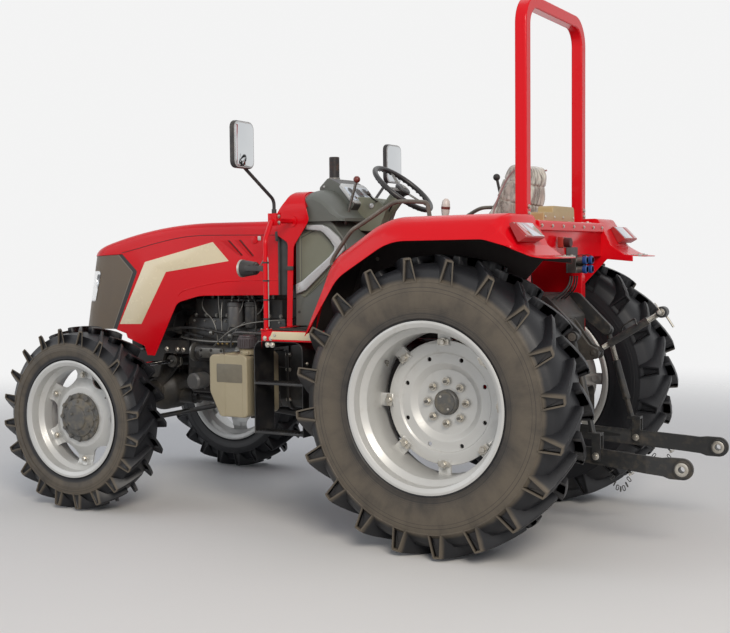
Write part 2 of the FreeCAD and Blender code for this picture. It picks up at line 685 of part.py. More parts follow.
def platform():
    """Folded steel floor with its side sills, narrower between the rear wheels."""
    edge = PLATFORM_HALF_WIDTH
    wheel_edge = FENDER_INNER + 10
    low = FLOOR_Z - FLOOR_THICKNESS
    floor = prism("plan", [
        (330, -wheel_edge, 0), (330, wheel_edge, 0), (700, wheel_edge, 60), (700, edge, 0),
        (SILL_FRONT, edge, 10), (SILL_FRONT, COWL_STEP, 30), (1140, COWL_STEP, 20),
        (1140, -COWL_STEP, 20), (SILL_FRONT, -COWL_STEP, 30), (SILL_FRONT, -edge, 10),
        (700, -edge, 0), (700, -wheel_edge, 60),
    ], low, FLOOR_Z)
    sill = prism("side", [
        (700, 975, 0), (SILL_FRONT, 975, 10), (SILL_FRONT, FLOOR_Z, 4), (700, FLOOR_Z, 0),
    ], edge - 6, edge)
    front_lip = box(SILL_FRONT - 6, SILL_FRONT, COWL_STEP + 40, edge - 3, 975, low + 1)
    mount = box(560, 620, -170, 170, 960 + SEAT_GAP, low + 1)
    cross = box(1000, 1060, -130, 130, 1000 + SEAT_GAP, low + 1)
    return fused(floor, sill, other_side(sill), front_lip, other_side(front_lip), mount, cross)


def steps():
    """Left access step: a bent plate frame with two treads, bolted under the sill."""
    top = 975 - SEAT_GAP
    bent = [(1128, 478, 0), (1128, top, 52), (820, top, 52), (820, 478, 0)]
    frame = prism("side", bent + parallel(bent, 6)[::-1], 470, 652)
    treads = []
    for z in (484, 744):
        treads.append(box(824, 1124, 560, 652, z, z + 12))
    hanger = box(1000, 1060, 230, 640, 940, 970)
    hanger_foot = box(1000, 1060, 225 + SEAT_GAP, 260, 800, 969)
    return pair(fused(frame, *treads, hanger, hanger_foot))


def fuel_tank():
    """Moulded tank with a tapered front and its filler neck."""
    body = prism("side", [
        (1186, 556, 26), (1367, 556, 26), (1434, 690, 60), (1434, 890, 30), (1186, 890, 26),
    ], 330, 636)
    neck = rod((1240, 550, 885), (1240, 550, 925), 40)
    cap = rod((1240, 550, 920), (1240, 550, 985), 50)
    strap = []
    for x in (1215, 1330):
        strap.append(box(x, x + 30, 226, 636, 888, 896))
    bracket = box(1200, 1360, 225 + SEAT_GAP, 237, 790, 896)
    return fused(body, neck, cap, bracket, *strap)


# Driver's place

def cowl():
    """Pressed arch behind the hood, from floor to floor, open to the rear."""
    def arch(half_width, top, corner):
        return [(-half_width, FLOOR_Z + SEAT_GAP, 0), (half_width, FLOOR_Z + SEAT_GAP, 0),
                (half_width, top, corner), (-half_width, top, corner)]
    crown = prism("front", arch(345, 1770, 110), 960, COWL_FRONT)
    crown = crown.cut(prism("front", arch(345 - SHEET, 1770 - SHEET, 105), 900, COWL_FRONT - SHEET))
    keep = prism("side", [
        (1121, FLOOR_Z, 0), (1108, 1490, 30), (COWL_FRONT, 1530, 20), (COWL_FRONT, 1640, 60),
        (1085, 1720, 60), (1040, 1775, 30), (940, 1775, 0), (975, 1600, 90), (1070, 1470, 60),
        (1086, FLOOR_Z, 0),
    ], -400, 400)
    return crown.common(keep)


CONSOLE = [
    (1088, FLOOR_Z + SEAT_GAP, 0), (1083, 1560, 60), (938, 1703, 50), (770, 1500, 60),
    (700, 1300, 80), (700, FLOOR_Z + SEAT_GAP, 0),
]
CONSOLE_HALF_WIDTH = 300


def dash_console():
    """Moulded console between the cowl and the driver, with a recess in each side."""
    body = prism("side", CONSOLE, -CONSOLE_HALF_WIDTH, CONSOLE_HALF_WIDTH)
    panel = prism("side", [
        (1060, 1160, 30), (1060, 1530, 30), (930, 1580, 40), (800, 1440, 40), (900, 1290, 60),
    ], CONSOLE_HALF_WIDTH - 6, CONSOLE_HALF_WIDTH + 20)
    return body.cut(panel).cut(other_side(panel))


def console_seat():
    """Space that pieces fixed to the console's rear face leave for it."""
    form = prism("side", CONSOLE, -CONSOLE_HALF_WIDTH, CONSOLE_HALF_WIDTH)
    lift = SEAT_GAP / math.sqrt(2) * 1.02
    form.translate(V(-lift, 0, lift))
    return form


WHEEL_CENTRE = (575, 0, 1779)
WHEEL_TILT = 40
STEERING_SHAFT_RADIUS = 18


def on_column(along):
    """Point on the steering axis, measured down from the wheel's centre."""
    tilt = math.radians(WHEEL_TILT)
    return (WHEEL_CENTRE[0] + along * math.sin(tilt), 0, WHEEL_CENTRE[2] - along * math.cos(tilt))


def steering_column():
    """Column and instrument pod in one housing on the console and the cowl's crown."""
    pod = prism("side", [
        (1060, 1690, 20), (1099, 1792, 20), (998, 1889, 30), (900, 1813, 16), (804, 1698, 16),
        (880, 1600, 10),
    ], -150, 150)
    pod = pod.cut(box(934, 1200, -200, 200, 1500, 1770 + SEAT_GAP))
    tube = rod(on_column(210), on_column(58), 42)
    shroud = prism("side", [
        (900, 1560, 0), (900, 1690, 0), (850, 1740, 20), (790, 1740, 16), (708, 1728, 16),
        (645, 1668, 16), (700, 1545, 30),
    ], -62, 62)
    bore = rod(on_column(150), on_column(0), STEERING_SHAFT_RADIUS + RUNNING_FIT)
    return fused(pod, tube, shroud).cut(bore).cut(console_seat())


def steering_wheel():
    """Rim, three spokes and hub, drawn flat and then tilted onto the column."""
    rim = Part.makeTorus(184, 14)
    hub = Part.makeCylinder(38, 40, V(0, 0, -34))
    shaft = Part.makeCylinder(STEERING_SHAFT_RADIUS, 120, V(0, 0, -140))
    spokes = []
    for turn in (90, 210, 330):
        spoke = box(20, 176, -14, 14, -10, -2)
        spoke.rotate(V(0, 0, 0), V(0, 0, 1), turn)
        spokes.append(spoke)
    wheel = fused(rim, hub, shaft, *spokes)
    wheel.rotate(V(0, 0, 0), V(0, 1, 0), -WHEEL_TILT)
    wheel.translate(V(*WHEEL_CENTRE))
    return wheel


def seat_base():
    """Suspension box whose foot stands on the sloping lift housing."""
    box_part = prism("side", [
        (-120, 1236, 0), (300, 1236, 0), (330, 1400, 30), (-100, 1400, 30),
    ], -170, 170)
    foot = box(-80, 60, -120, 120, 1100, 1240)
    housing = prism("side", LIFT_HOUSING, -185, 185)
    housing.translate(V(0, 0, SEAT_GAP * 1.05))
    return fused(box_part, foot.cut(housing))


def seat():
    """Seat cushion and high back."""
    cushion = prism("side", [
        (-120, 1400 + SEAT_GAP, 30), (370, 1400 + SEAT_GAP, 40), (380, 1500, 45), (-60, 1490, 0),
    ], -240, 240)
    back = prism("side", [
        (-120, 1405, 20), (-40, 1440, 20), (-25, 1600, 40), (-222, 1858, 45), (-322, 1852, 40),
        (-185, 1600, 60),
    ], -230, 230)
    return fused(cushion, back)


# Fenders

FENDER_INNER = 470
FENDER_OUTER = 850
FENDER_TAIL = -612

FENDER_TOP_EDGE = 735
TAIL_LOW = 1366
TAIL_HIGH = 1400
# Side outlines from the front end over the wheel to the tail.
# columns: x, z, corner radius
FENDER_TOP = [
    (690, 1040, 0), (560, 1400, 230), (250, 1600, 330), (-372, 1606, 30), (-450, 1458, 24),
    (-520, 1410, 24), (FENDER_TAIL - 20, 1400, 0),
]
FENDER_LIP = [
    (680, 1022, 0), (490, 1312, 220), (200, 1487, 300), (-280, 1490, 150), (-390, 1458, 60),
    (-500, 1416, 60), (FENDER_TAIL - 20, 1370, 0),
]
# The tail's outline from above, round at its outer corner.
# columns: x, y, corner radius
TAIL_PLAN = [
    (-300, FENDER_OUTER, 0), (FENDER_TAIL, FENDER_OUTER, 130), (FENDER_TAIL, 545, 20), (-565, FENDER_INNER, 0),
]


def fender_section(drop, y):
    """Sheet outline part of the way from the top's line to the lip's, set at one width."""
    line = [(a[0] + (b[0] - a[0]) * drop, a[1] + (b[1] - a[1]) * drop, a[2] + (b[2] - a[2]) * drop)
            for a, b in zip(FENDER_TOP, FENDER_LIP)]
    rows = line + parallel(line, SHEET)[::-1]
    return outline(rows, lambda p: V(p.x, y, p.y))


def fender():
    """Left fender: inner wall, crowned top, turned-down lip and upright tail edge."""
    flat = Part.Face(fender_section(0, FENDER_INNER)).extrude(V(0, FENDER_TOP_EDGE - FENDER_INNER, 0))
    # columns: share of the drop to the lip, y
    crown_table = ((0, FENDER_TOP_EDGE), (0.10, 790), (0.45, 834), (1, FENDER_OUTER))
    crown = []
    for (drop, y), (next_drop, next_y) in zip(crown_table, crown_table[1:]):
        ends = [fender_section(drop, y), fender_section(next_drop, next_y)]
        crown.append(Part.makeLoft(ends, True, True))
    wall = prism("side", FENDER_TOP + [
        (FENDER_TAIL, 1368, 0), (-425, 1385, 12), (-150, 1095, 60), (-150, 1000, 40), (300, 1000, 40),
        (322, FLOOR_Z + SEAT_GAP, 0), (690, FLOOR_Z + SEAT_GAP, 0),
    ], FENDER_INNER, FENDER_INNER + SHEET)
    sheet = fused(flat, *crown, wall)
    sheet = sheet.common(prism("plan", TAIL_PLAN + [
        (-565, FENDER_INNER - 20, 0), (800, FENDER_INNER - 20, 0), (800, FENDER_OUTER + 20, 0),
        (-300, FENDER_OUTER + 20, 0),
    ], 900, 1700))
    end = prism("plan", TAIL_PLAN[1:] + parallel(TAIL_PLAN[1:], SHEET)[::-1], TAIL_LOW, TAIL_HIGH)
    return fused(sheet, end)


def rear_deck():
    """Cross panel behind the seat, cut round the hoop's posts, with the filler cover."""
    width = FENDER_INNER - SEAT_GAP
    beam = prism("side", [
        (-230, 1590, 0), (-405, 1578, 14), (-405, 1530, 6), (-385, 1530, 0), (-385, 1558, 0),
        (-230, 1570, 0),
    ], -width, width)
    wall = box(-392, -387, -width, width, 1400, 1560)
    cover = prism("front", [
        (-132, 1574, 0), (-124, 1656, 20), (178, 1656, 20), (184, 1624, 4), (302, 1622, 14),
        (308, 1574, 0),
    ], -362, -282)
    half = ROPS_TUBE / 2 + 3
    posts = [box(ROPS_X - half, ROPS_X + half, side * ROPS_HALF_SPAN - half,
                 side * ROPS_HALF_SPAN + half, 1500, 1700) for side in (1, -1)]
    return fused(beam, wall, cover).cut(Part.makeCompound(posts))


def rops():
    """Square-tube hoop on brackets that clamp round the axle housings."""
    half = ROPS_TUBE / 2
    span = ROPS_HALF_SPAN
    foot = REAR_TYRE_RADIUS + 90
    hoop = prism("front", [
        (-span - half, foot, 0), (-span + half, foot, 0), (-span + half, ROPS_TOP - ROPS_TUBE, 90),
        (span - half, ROPS_TOP - ROPS_TUBE, 90), (span - half, foot, 0), (span + half, foot, 0),
        (span + half, ROPS_TOP, 150), (-span - half, ROPS_TOP, 150),
    ], ROPS_X - half, ROPS_X + half)
    bracket = prism("side", [
        (ROPS_X - half, foot, 20), (-60, REAR_TYRE_RADIUS + 40, 0), (60, REAR_TYRE_RADIUS + 40, 0),
        (95, REAR_TYRE_RADIUS + 135, 40), (-150, REAR_TYRE_RADIUS + 160, 60),
        (ROPS_X + half, foot + 150, 0), (ROPS_X - half, foot + 150, 0),
    ], span - half, span + half).cut(axle_form(SEAT_GAP))
    return fused(hoop, bracket, other_side(bracket))


# Hood

HOOD_TOP = 1612
HOOD_SKIN_BOTTOM = 700
NOSE_TOP_X = 2633
NOSE_TOP_Z = 1440
NOSE_LEAN = 0.192
NOSE_CORNER = 200
HOOD_EDGE = 45


def nose_plan(level, inset):
    """Plan outline of the hood at one level; the nose leans forward on the way down."""
    front = NOSE_TOP_X + NOSE_LEAN * (NOSE_TOP_Z - level) - inset
    half = HOOD_HALF_WIDTH - inset
    back = HOOD_REAR - 60
    corner = NOSE_CORNER - inset
    rows = [(back, -half, 0), (front, -half, corner), (front, half, corner), (back, half, 0)]
    return outline(rows, lambda p: V(p.x, p.y, level))


def hood_form(inset, lower_rows=None):
    """Solid inside the hood's skin, stepped in by an even amount; open ends run past."""
    levels = (HOOD_SKIN_BOTTOM - 20, HOOD_TOP + 60)
    core = Part.makeLoft([nose_plan(level, inset) for level in levels], True, True)
    top = HOOD_TOP - inset
    lower = lower_rows or [(NOSE_TOP_X + 200, HOOD_SKIN_BOTTOM, 0), (HOOD_REAR - 50, HOOD_SKIN_BOTTOM, 0)]
    profile = [(HOOD_REAR - (0 if lower_rows else 50), top, 0), (2145, top, 2850 - inset),
               (NOSE_TOP_X + 200, top - 247, 0)] + lower
    solid = core.common(prism("side", profile, -400, 400))
    if inset >= HOOD_EDGE:
        return solid
    crown = [edge for edge in solid.Edges if edge_on_crown(edge, inset)]
    return solid.makeFillet(HOOD_EDGE - inset, crown)


def edge_on_crown(edge, inset):
    """True for the long edges between the hood's top and its sides and nose."""
    box_of = edge.BoundBox
    high = box_of.ZMin > 1380
    across = box_of.YLength < 1 and abs(box_of.YMin) < HOOD_HALF_WIDTH - inset - 1
    flat_end = box_of.XLength < 0.01
    return high and not across and not (flat_end and box_of.XMin < HOOD_REAR + 1)


HOOD_LOWER = [
    (2800, 975, 0), (2389, 985, 0), (2299, 960, 0), (2289, 934, 0), (2157, 889, 12), (2136, 834, 0),
    (2080, 834, 0), (1905, 1150, 70), (1740, 1192, 300), (HOOD_REAR, 1202, 0),
]
GRILLE_ZONE = [
    (2318, 1436, 6), (2204, 1333, 14), (2392, 940, 0), (2850, 940, 0), (2850, 1412, 0),
]
LAMP_ZONE = [(2492, 1335, 16), (2548, 1150, 16), (2850, 1150, 0), (2850, 1335, 0)]
LOUVRE_PITCH = 34
LOUVRE_HEIGHT = 16


def shrunk_zone(rows, gap):
    """The zone's outline stepped back by a gap on its rear and upper sides."""
    return [(x + gap, z - gap if i in (0, len(rows) - 1) else z, r) for i, (x, z, r) in enumerate(rows)]


def hood_pieces():
    outer = hood_form(0, HOOD_LOWER)
    shell = outer.cut(hood_form(SHEET))
    zone = prism("side", GRILLE_ZONE, -400, 400)
    hood_shell = shell.cut(zone)
    grille_skin = hood_form(4, HOOD_LOWER).cut(hood_form(14))
    grille = grille_skin.common(prism("side", shrunk_zone(GRILLE_ZONE, SEAT_GAP), -400, 400))
    lamp_hole = prism("side", LAMP_ZONE, -400, 400).cut(box(2300, 2900, -150, 150, 900, 1500))
    grille = grille.cut(lamp_hole)
    slots = []
    for i in range(11):
        z = 1010 + i * LOUVRE_PITCH
        slots.append(box(2430, 2900, -130, 130, z, z + LOUVRE_HEIGHT))
    grille = grille.cut(Part.makeCompound(slots))
    lamp_zone = prism("side", shrunk_zone(LAMP_ZONE, SEAT_GAP), -400, 400)
    lamps = hood_form(1).cut(hood_form(60)).common(lamp_zone)
    lamps = lamps.cut(box(2300, 2900, -150 - SEAT_GAP, 150 + SEAT_GAP, 900, 1500))
    return hood_shell, grille, lamps


# Frame tubes, lamps, mirrors, exhaust

FRAME_TUBE_RADIUS = 13
FRAME_TUBE_X = 1052
FRAME_TUBE_Y = 640
CLAMP_X = 1075


def side_frames():
    """Bent tube each side from the floor to the cowl, with the mirror on its clamp."""
    x = FRAME_TUBE_X
    tube = bent_tube([
        (x, FRAME_TUBE_Y, FLOOR_Z + SEAT_GAP), (x, FRAME_TUBE_Y, 1500, 60),
        (CLAMP_X, 545, 1606, 50), (CLAMP_X, 345 + SEAT_GAP, 1606),
    ], FRAME_TUBE_RADIUS)
    clamp = box(CLAMP_X - 27, CLAMP_X + 27, 495, 540, 1580, 1645)
    arm = bent_tube([
        (CLAMP_X, 520, 1630), (CLAMP_X, 520, 1715, 50), (1092, 770, 1880, 50), (1088, 800, 1985),
    ], 9)
    head = box(-16, 16, -92, 92, -120, 120)
    head = head.makeFillet(14, [e for e in head.Edges if e.BoundBox.XLength > 30])
    head.rotate(V(0, 0, 0), V(0, 0, 1), -14)
    head.translate(V(1076, 800, 1986))
    return pair(fused(tube, clamp, arm, head))


def lamps():
    """Round work lamps on the frame tubes and slanted tail lamps on the fenders."""
    x = 1136
    y = 605
    z = 1354
    shell = Part.makeCone(34, 46, 84, V(x, y, z), V(1, 0, 0))
    rim = rod((x + 84, y, z), (x + 94, y, z), 46)
    stalk = box(FRAME_TUBE_X + FRAME_TUBE_RADIUS + SEAT_GAP, x + 46, y + 22, y + 42, z - 14, z + 14)
    work_lamp = fused(shell, rim, stalk)
    top = V(*FENDER_TOP[3][:2], 0)
    slope = (V(*FENDER_TOP[4][:2], 0) - top).normalize()
    out = V(slope.y, -slope.x, 0)
    # columns: distance down the slope, height off it
    corners = [top + slope * along + out * off
               for along, off in ((58, SEAT_GAP), (58, 20), (152, 48), (152, SEAT_GAP))]
    tail_lamp = prism("side", [(c.x, c.y, 5) for c in corners], 602, 828)
    return Part.makeCompound([work_lamp, other_side(work_lamp), tail_lamp, other_side(tail_lamp)])


def exhaust():
    """Pipe from the manifold out under the hood's side and up beside it."""
    pipe = bent_tube([
        (1450, -215 - SEAT_GAP, 1108), (1450, -420, 1108, 60), (1270, -420, 1108, 60), (1270, -420, 2013),
    ], 31)
    muffler = rod((1270, -420, 1300), (1270, -420, 1600), 60)
    return fused(pipe, muffler)


def handles():
    """Grab rail over each fender and bent handle on each side of the console."""
    # the rail's front foot stands square on the fender's front slope
    foot = V(*FENDER_TOP[0][:2], 0)
    slope = (V(*FENDER_TOP[1][:2], 0) - foot).normalize()
    out = V(slope.y, -slope.x, 0)
    start = foot + slope * 266 + out * SEAT_GAP
    bend = start + out * 66
    rail = bent_tube([
        (start.x, 520, start.y), (bend.x, 520, bend.y, 34), (560, 520, 1560, 120),
        (344, 520, 1686, 80), (164, 520, 1676, 34), (150, 520, 1604.6 + SEAT_GAP),
    ], 11)
    y = CONSOLE_HALF_WIDTH + 12 + SEAT_GAP
    handle = bent_tube([
        (1030, y, 1575), (850, y, 1560, 40), (800, y, 1426, 30), (1074, y, 1230),
    ], 12)
    return Part.makeCompound([rail, other_side(rail), handle, other_side(handle)])


def controls():
    """Gear levers, throttle, pedals and the lift lever on its quadrant."""
    # columns: foot x, y, z, end x, y, z, knob radius
    table = [
        (480, 110, FLOOR_Z, 400, 130, 1390, 21),
        (560, -110, FLOOR_Z, 470, -130, 1370, 21),
        (870, 170, 1520, 768, 170, 1830, 19),
    ]
    floor = box(400, 600, -200, 200, FLOOR_Z - 40, FLOOR_Z + SEAT_GAP)
    pieces = []
    for x0, y0, z0, x1, y1, z1, knob in table:
        stick = rod((x0, y0, z0 - 5), (x1, y1, z1), 8)
        lever = fused(stick, Part.makeSphere(knob, V(x1, y1, z1)))
        pieces.append(lever.cut(console_seat()).cut(floor))
    # columns: y of a pedal's arm, pad half width
    for y, half in ((210, 38), (-150, 34), (-230, 34)):
        arm = rod((730, y, 1240), (648, y, 1140), 9)
        pad = prism("side", [
            (620, 1110, 0), (628, 1104, 0), (676, 1166, 0), (668, 1172, 0),
        ], y - half, y + half)
        pieces.append(fused(arm, pad).cut(console_seat()))
    wall = -FENDER_INNER + 14 + SEAT_GAP
    quadrant = prism("side", [
        (50, 1430, 20), (250, 1430, 20), (230, 1570, 30), (80, 1570, 30),
    ], -FENDER_INNER + SEAT_GAP, wall + 70)
    stick = rod((140, -430, 1560), (205, -430, 1850), 8)
    pieces.append(fused(quadrant, stick, Part.makeSphere(20, V(205, -430, 1850))))
    return Part.makeCompound(pieces)


# Rear linkage

def hitch_frame():
    """Pins and brackets of the lower links, stabilisers, drawbar and shaft guard."""
    x = LINK_PIVOT_X
    z = LINK_PIVOT_Z
    plate = prism("side", [
        (x - 60, z - 50, 20), (x + 60, z - 50, 20), (x + 90, z + 110, 20), (x - 90, z + 110, 20),
    ], 230 + SEAT_GAP, 244)
    pin = rod((x, 240, z), (x, 312, z), LINK_BORE_RADIUS)
    head = rod((x, 303, z), (x, 312, z), 24)
    side = fused(plate, pin, head)
    outer = prism("side", [
        (x - 34, z - 34, 30), (x + 34, z - 34, 30), (60, 560, 20), (60, REAR_TYRE_RADIUS, 0),
        (-60, REAR_TYRE_RADIUS, 0), (-60, 620, 20), (x - 34, z + 34, 30),
    ], STABILISER_Y + 18, STABILISER_Y + 32)
    collar = rod((0, STABILISER_Y + 18, REAR_TYRE_RADIUS), (0, STABILISER_Y + 32, REAR_TYRE_RADIUS), 118)
    outer_pin = rod((x, STABILISER_Y - 14, z), (x, STABILISER_Y + 22, z), STABILISER_PIN_RADIUS)
    stay = fused(fused(outer, collar).cut(axle_form(SEAT_GAP)), outer_pin)
    bar = prism("plan", [
        (-60, -45, 0), (-60, 45, 0), (-720, 45, 40), (-720, -45, 40),
    ], 392, 418)
    bar = bar.cut(rod((-672, 0, 380), (-672, 0, 430), 15))
    hangers = [box(-325, -120, y, y + 14, 392, 420 - SEAT_GAP) for y in (44, -58)]
    cross = box(-325, -300, -58, 58, 380, 393)
    drawbar = fused(bar, *hangers, cross)
    guard = prism("front", [
        (-105, 600, 0), (-105, 745, 40), (105, 745, 40), (105, 600, 0), (100, 600, 0),
        (100, 740, 35), (-100, 740, 35), (-100, 600, 0),
    ], -480, -330 - SEAT_GAP)
    return Part.makeCompound([side, other_side(side), stay, other_side(stay), drawbar, guard])


def rockshaft():
    """Cross shaft with a bent lift arm and rod pin at each end."""
    shaft = rod((ROCKSHAFT_X, -250, ROCKSHAFT_Z), (ROCKSHAFT_X, 250, ROCKSHAFT_Z), ROCKSHAFT_RADIUS)
    arm = prism("side", [
        (ROCKSHAFT_X + 55, ROCKSHAFT_Z - 55, 50), (ROCKSHAFT_X + 55, ROCKSHAFT_Z + 60, 55),
        (ROCKSHAFT_X - 110, ROCKSHAFT_Z + 62, 50), (LIFT_PIN_X - 32, LIFT_PIN_Z + 20, 24),
        (LIFT_PIN_X - 10, LIFT_PIN_Z - 36, 24), (ROCKSHAFT_X - 90, ROCKSHAFT_Z - 30, 50),
    ], LIFT_ARM_Y - 13, LIFT_ARM_Y + 13)
    pin = rod((LIFT_PIN_X, LIFT_ARM_Y, LIFT_PIN_Z), (LIFT_PIN_X, LIFT_ARM_Y + 50, LIFT_PIN_Z),
              LIFT_PIN_RADIUS)
    collar = rod((ROCKSHAFT_X, 185 + SEAT_GAP, ROCKSHAFT_Z), (ROCKSHAFT_X, LIFT_ARM_Y, ROCKSHAFT_Z), 42)
    return fused(shaft, arm, other_side(arm), pin, other_side(pin), collar, other_side(collar))


LIFT_ROD_TOP_Y = LIFT_ARM_Y + 31
LIFT_ROD_FOOT = (-640, 321, 452)
FORK_HEIGHT = 110


def lift_rod():
    """Left lift rod: eye on the arm's pin, threaded middle, fork over the lower link."""
    top = V(LIFT_PIN_X, LIFT_ROD_TOP_Y, LIFT_PIN_Z)
    foot = V(*LIFT_ROD_FOOT)
    run = foot - top
    eye = rod((top.x, top.y - 14, top.z), (top.x, top.y + 14, top.z), 28)
    # columns: radius, start and length as shares of the rod
    bars = [Part.makeCylinder(radius, run.Length * length, top + run * start, run)
            for radius, start, length in ((13, 0.03, 0.6), (19, 0.30, 0.34), (14, 0.58, 0.235))]
    bridge_z = foot.z + FORK_HEIGHT
    cheeks = [box(foot.x - 22, foot.x + 22, foot.y + y, foot.y + y + 8, foot.z - 24, bridge_z)
              for y in (-24, 16)]
    bridge = box(foot.x - 22, foot.x + 46, foot.y - 26, foot.y + 24, bridge_z - 14, bridge_z)
    bore = rod((top.x, top.y - 30, top.z), (top.x, top.y + 30, top.z), LIFT_PIN_RADIUS + RUNNING_FIT)
    return fused(eye, *bars, *cheeks, bridge).cut(bore)


def lower_link():
    """Left lower link with its ball ends and the outer stabiliser."""
    px, pz = LINK_PIVOT_X, LINK_PIVOT_Z
    ex, ez = LINK_EYE_X, LINK_EYE_Z
    py, ey = LINK_PIVOT_Y, LINK_EYE_Y
    strip = prism("plan", [
        (px + 60, py - 8, 0), (px - 70, py - 8, 0), (ex + 170, ey - 8, 0), (ex - 80, ey - 8, 0),
        (ex - 80, ey + 8, 0), (ex + 170, ey + 8, 0), (px - 70, py + 8, 0), (px + 60, py + 8, 0),
    ], 300, 600)
    shape = prism("side", [
        (px + 36, pz + 36, 34), (px + 36, pz - 36, 34), (ex + 90, ez - 40, 30), (ex + 60, ez - 50, 30),
        (ex - 50, ez - 50, 49), (ex - 50, ez + 50, 49), (ex + 60, ez + 50, 30), (ex + 95, ez + 45, 30),
    ], 200, 420)
    bar = strip.common(shape)
    ball = rod((px, py - 20, pz), (px, py + 20, pz), 34)
    eye = rod((ex, ey - 22, ez), (ex, ey + 22, ez), 40)
    stay = rod((px - 20, STABILISER_Y, pz), (-560, 311, 457), 10)
    stay_eye = rod((px, STABILISER_Y - 11, pz), (px, STABILISER_Y + 11, pz), 24)
    bores = [
        rod((px, py - 40, pz), (px, py + 40, pz), LINK_BORE_RADIUS + RUNNING_FIT),
        rod((ex, ey - 40, ez), (ex, ey + 40, ez), LINK_EYE_BORE_RADIUS),
        rod((px, STABILISER_Y - 30, pz), (px, STABILISER_Y + 30, pz), STABILISER_PIN_RADIUS + RUNNING_FIT),
    ]
    return fused(bar, ball, eye, stay, stay_eye).cut(Part.makeCompound(bores))


def top_link():
    """Turnbuckle top link, held up and back from its bracket."""
    start = V(TOP_LINK_X, 0, TOP_LINK_Z)
    end = V(TOP_LINK_END_X, 0, TOP_LINK_END_Z)
    run = end - start
    eye = rod((start.x, -20, start.z), (start.x, 20, start.z), 26)
    far_eye = rod((end.x, -22, end.z), (end.x, 22, end.z), 28)
    screw = Part.makeCylinder(12, run.Length, start, run)
    barrel = Part.makeCylinder(19, run.Length * 0.56, start + run * 0.22, run)
    bores = [
        rod((start.x, -30, start.z), (start.x, 30, start.z), TOP_LINK_BORE_RADIUS),
        rod((end.x, -30, end.z), (end.x, 30, end.z), TOP_LINK_BORE_RADIUS),
    ]
    return fused(eye, far_eye, screw, barrel).cut(Part.makeCompound(bores))


def couplers():
    """Remote valve block with four quick couplers on the rear panel."""
    block = box(-440, -392 - SEAT_GAP, -70, 70, 1320, 1402)
    plate = box(-398, -392 - SEAT_GAP, -80, 80, 1320, 1450)
    ends = []
    for y in (-42, 42):
        for z in (1338, 1384):
            ends.append(rod((-436, y, z), (-492, y, z), 17))
    return fused(block, plate, *ends)


def save_wheels():
    rear_tyre = lugged_tyre(REAR_TYRE_RADIUS, REAR_TYRE_HALF_WIDTH, REAR_LUG_HEIGHT,
                            REAR_RIM_SEAT_RADIUS, REAR_RIM_HALF_WIDTH, 480)
    front_tyre = lugged_tyre(FRONT_TYRE_RADIUS, FRONT_TYRE_HALF_WIDTH, FRONT_LUG_HEIGHT,
                             FRONT_RIM_SEAT_RADIUS, FRONT_RIM_HALF_WIDTH, 380)
    wheels = (
        ("rear", rear_tyre, rear_wheel(), rear_hub(), 0, REAR_TRACK / 2, REAR_TYRE_RADIUS),
        ("front", front_tyre, front_wheel(), front_hub(), WHEELBASE, FRONT_TRACK / 2, FRONT_TYRE_RADIUS),
    )
    for end, tyre, wheel, hub, x, y, z in wheels:
        for kind, shape in (("tyre", tyre), ("wheel", wheel), ("hub", hub)):
            left = shape.copy()
            left.translate(V(x, y, z))
            save(kind + "_" + end + "_left", left)
            save(kind + "_" + end + "_right", other_side(left))


os.makedirs("parts", exist_ok=True)
save_wheels()
left_knuckle = knuckle()
save("knuckle_left", left_knuckle)
save("knuckle_right", other_side(left_knuckle))
save("front_axle", front_axle())
save("tie_rod", tie_rod())
save("cylinder_rod", cylinder_rod())
save("engine", engine())
save("front_support", front_support())
save("radiator", radiator())
save("transmission", transmission())
save("rear_axle", rear_axle())
save("drive_shaft", drive_shaft())
save("platform", platform())
save("steps", steps())
save("fuel_tank", fuel_tank())
save("cowl", cowl())
save("dash_console", dash_console())
save("steering_column", steering_column())
save("steering_wheel", steering_wheel())
save("seat_base", seat_base())
save("seat", seat())
save("fenders", pair(fender()))
save("rear_deck", rear_deck())
save("rops", rops())
hood_shell, grille, headlamps = hood_pieces()
save("hood", hood_shell)
save("grille", grille)
save("headlamps", headlamps)
save("side_frames", side_frames())
save("lamps", lamps())
save("exhaust", exhaust())
save("handles", handles())
save("controls", controls())
save("hitch_frame", hitch_frame())
save("rockshaft", rockshaft())
left_rod = lift_rod()
save("lift_rod_left", left_rod)
save("lift_rod_right", other_side(left_rod))
left_link = lower_link()
save("lower_link_left", left_link)
save("lower_link_right", other_side(left_link))
save("top_link", top_link())
save("remote_couplers", couplers())
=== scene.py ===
import math
import random

import bmesh
import bpy
from mathutils import Matrix, Vector


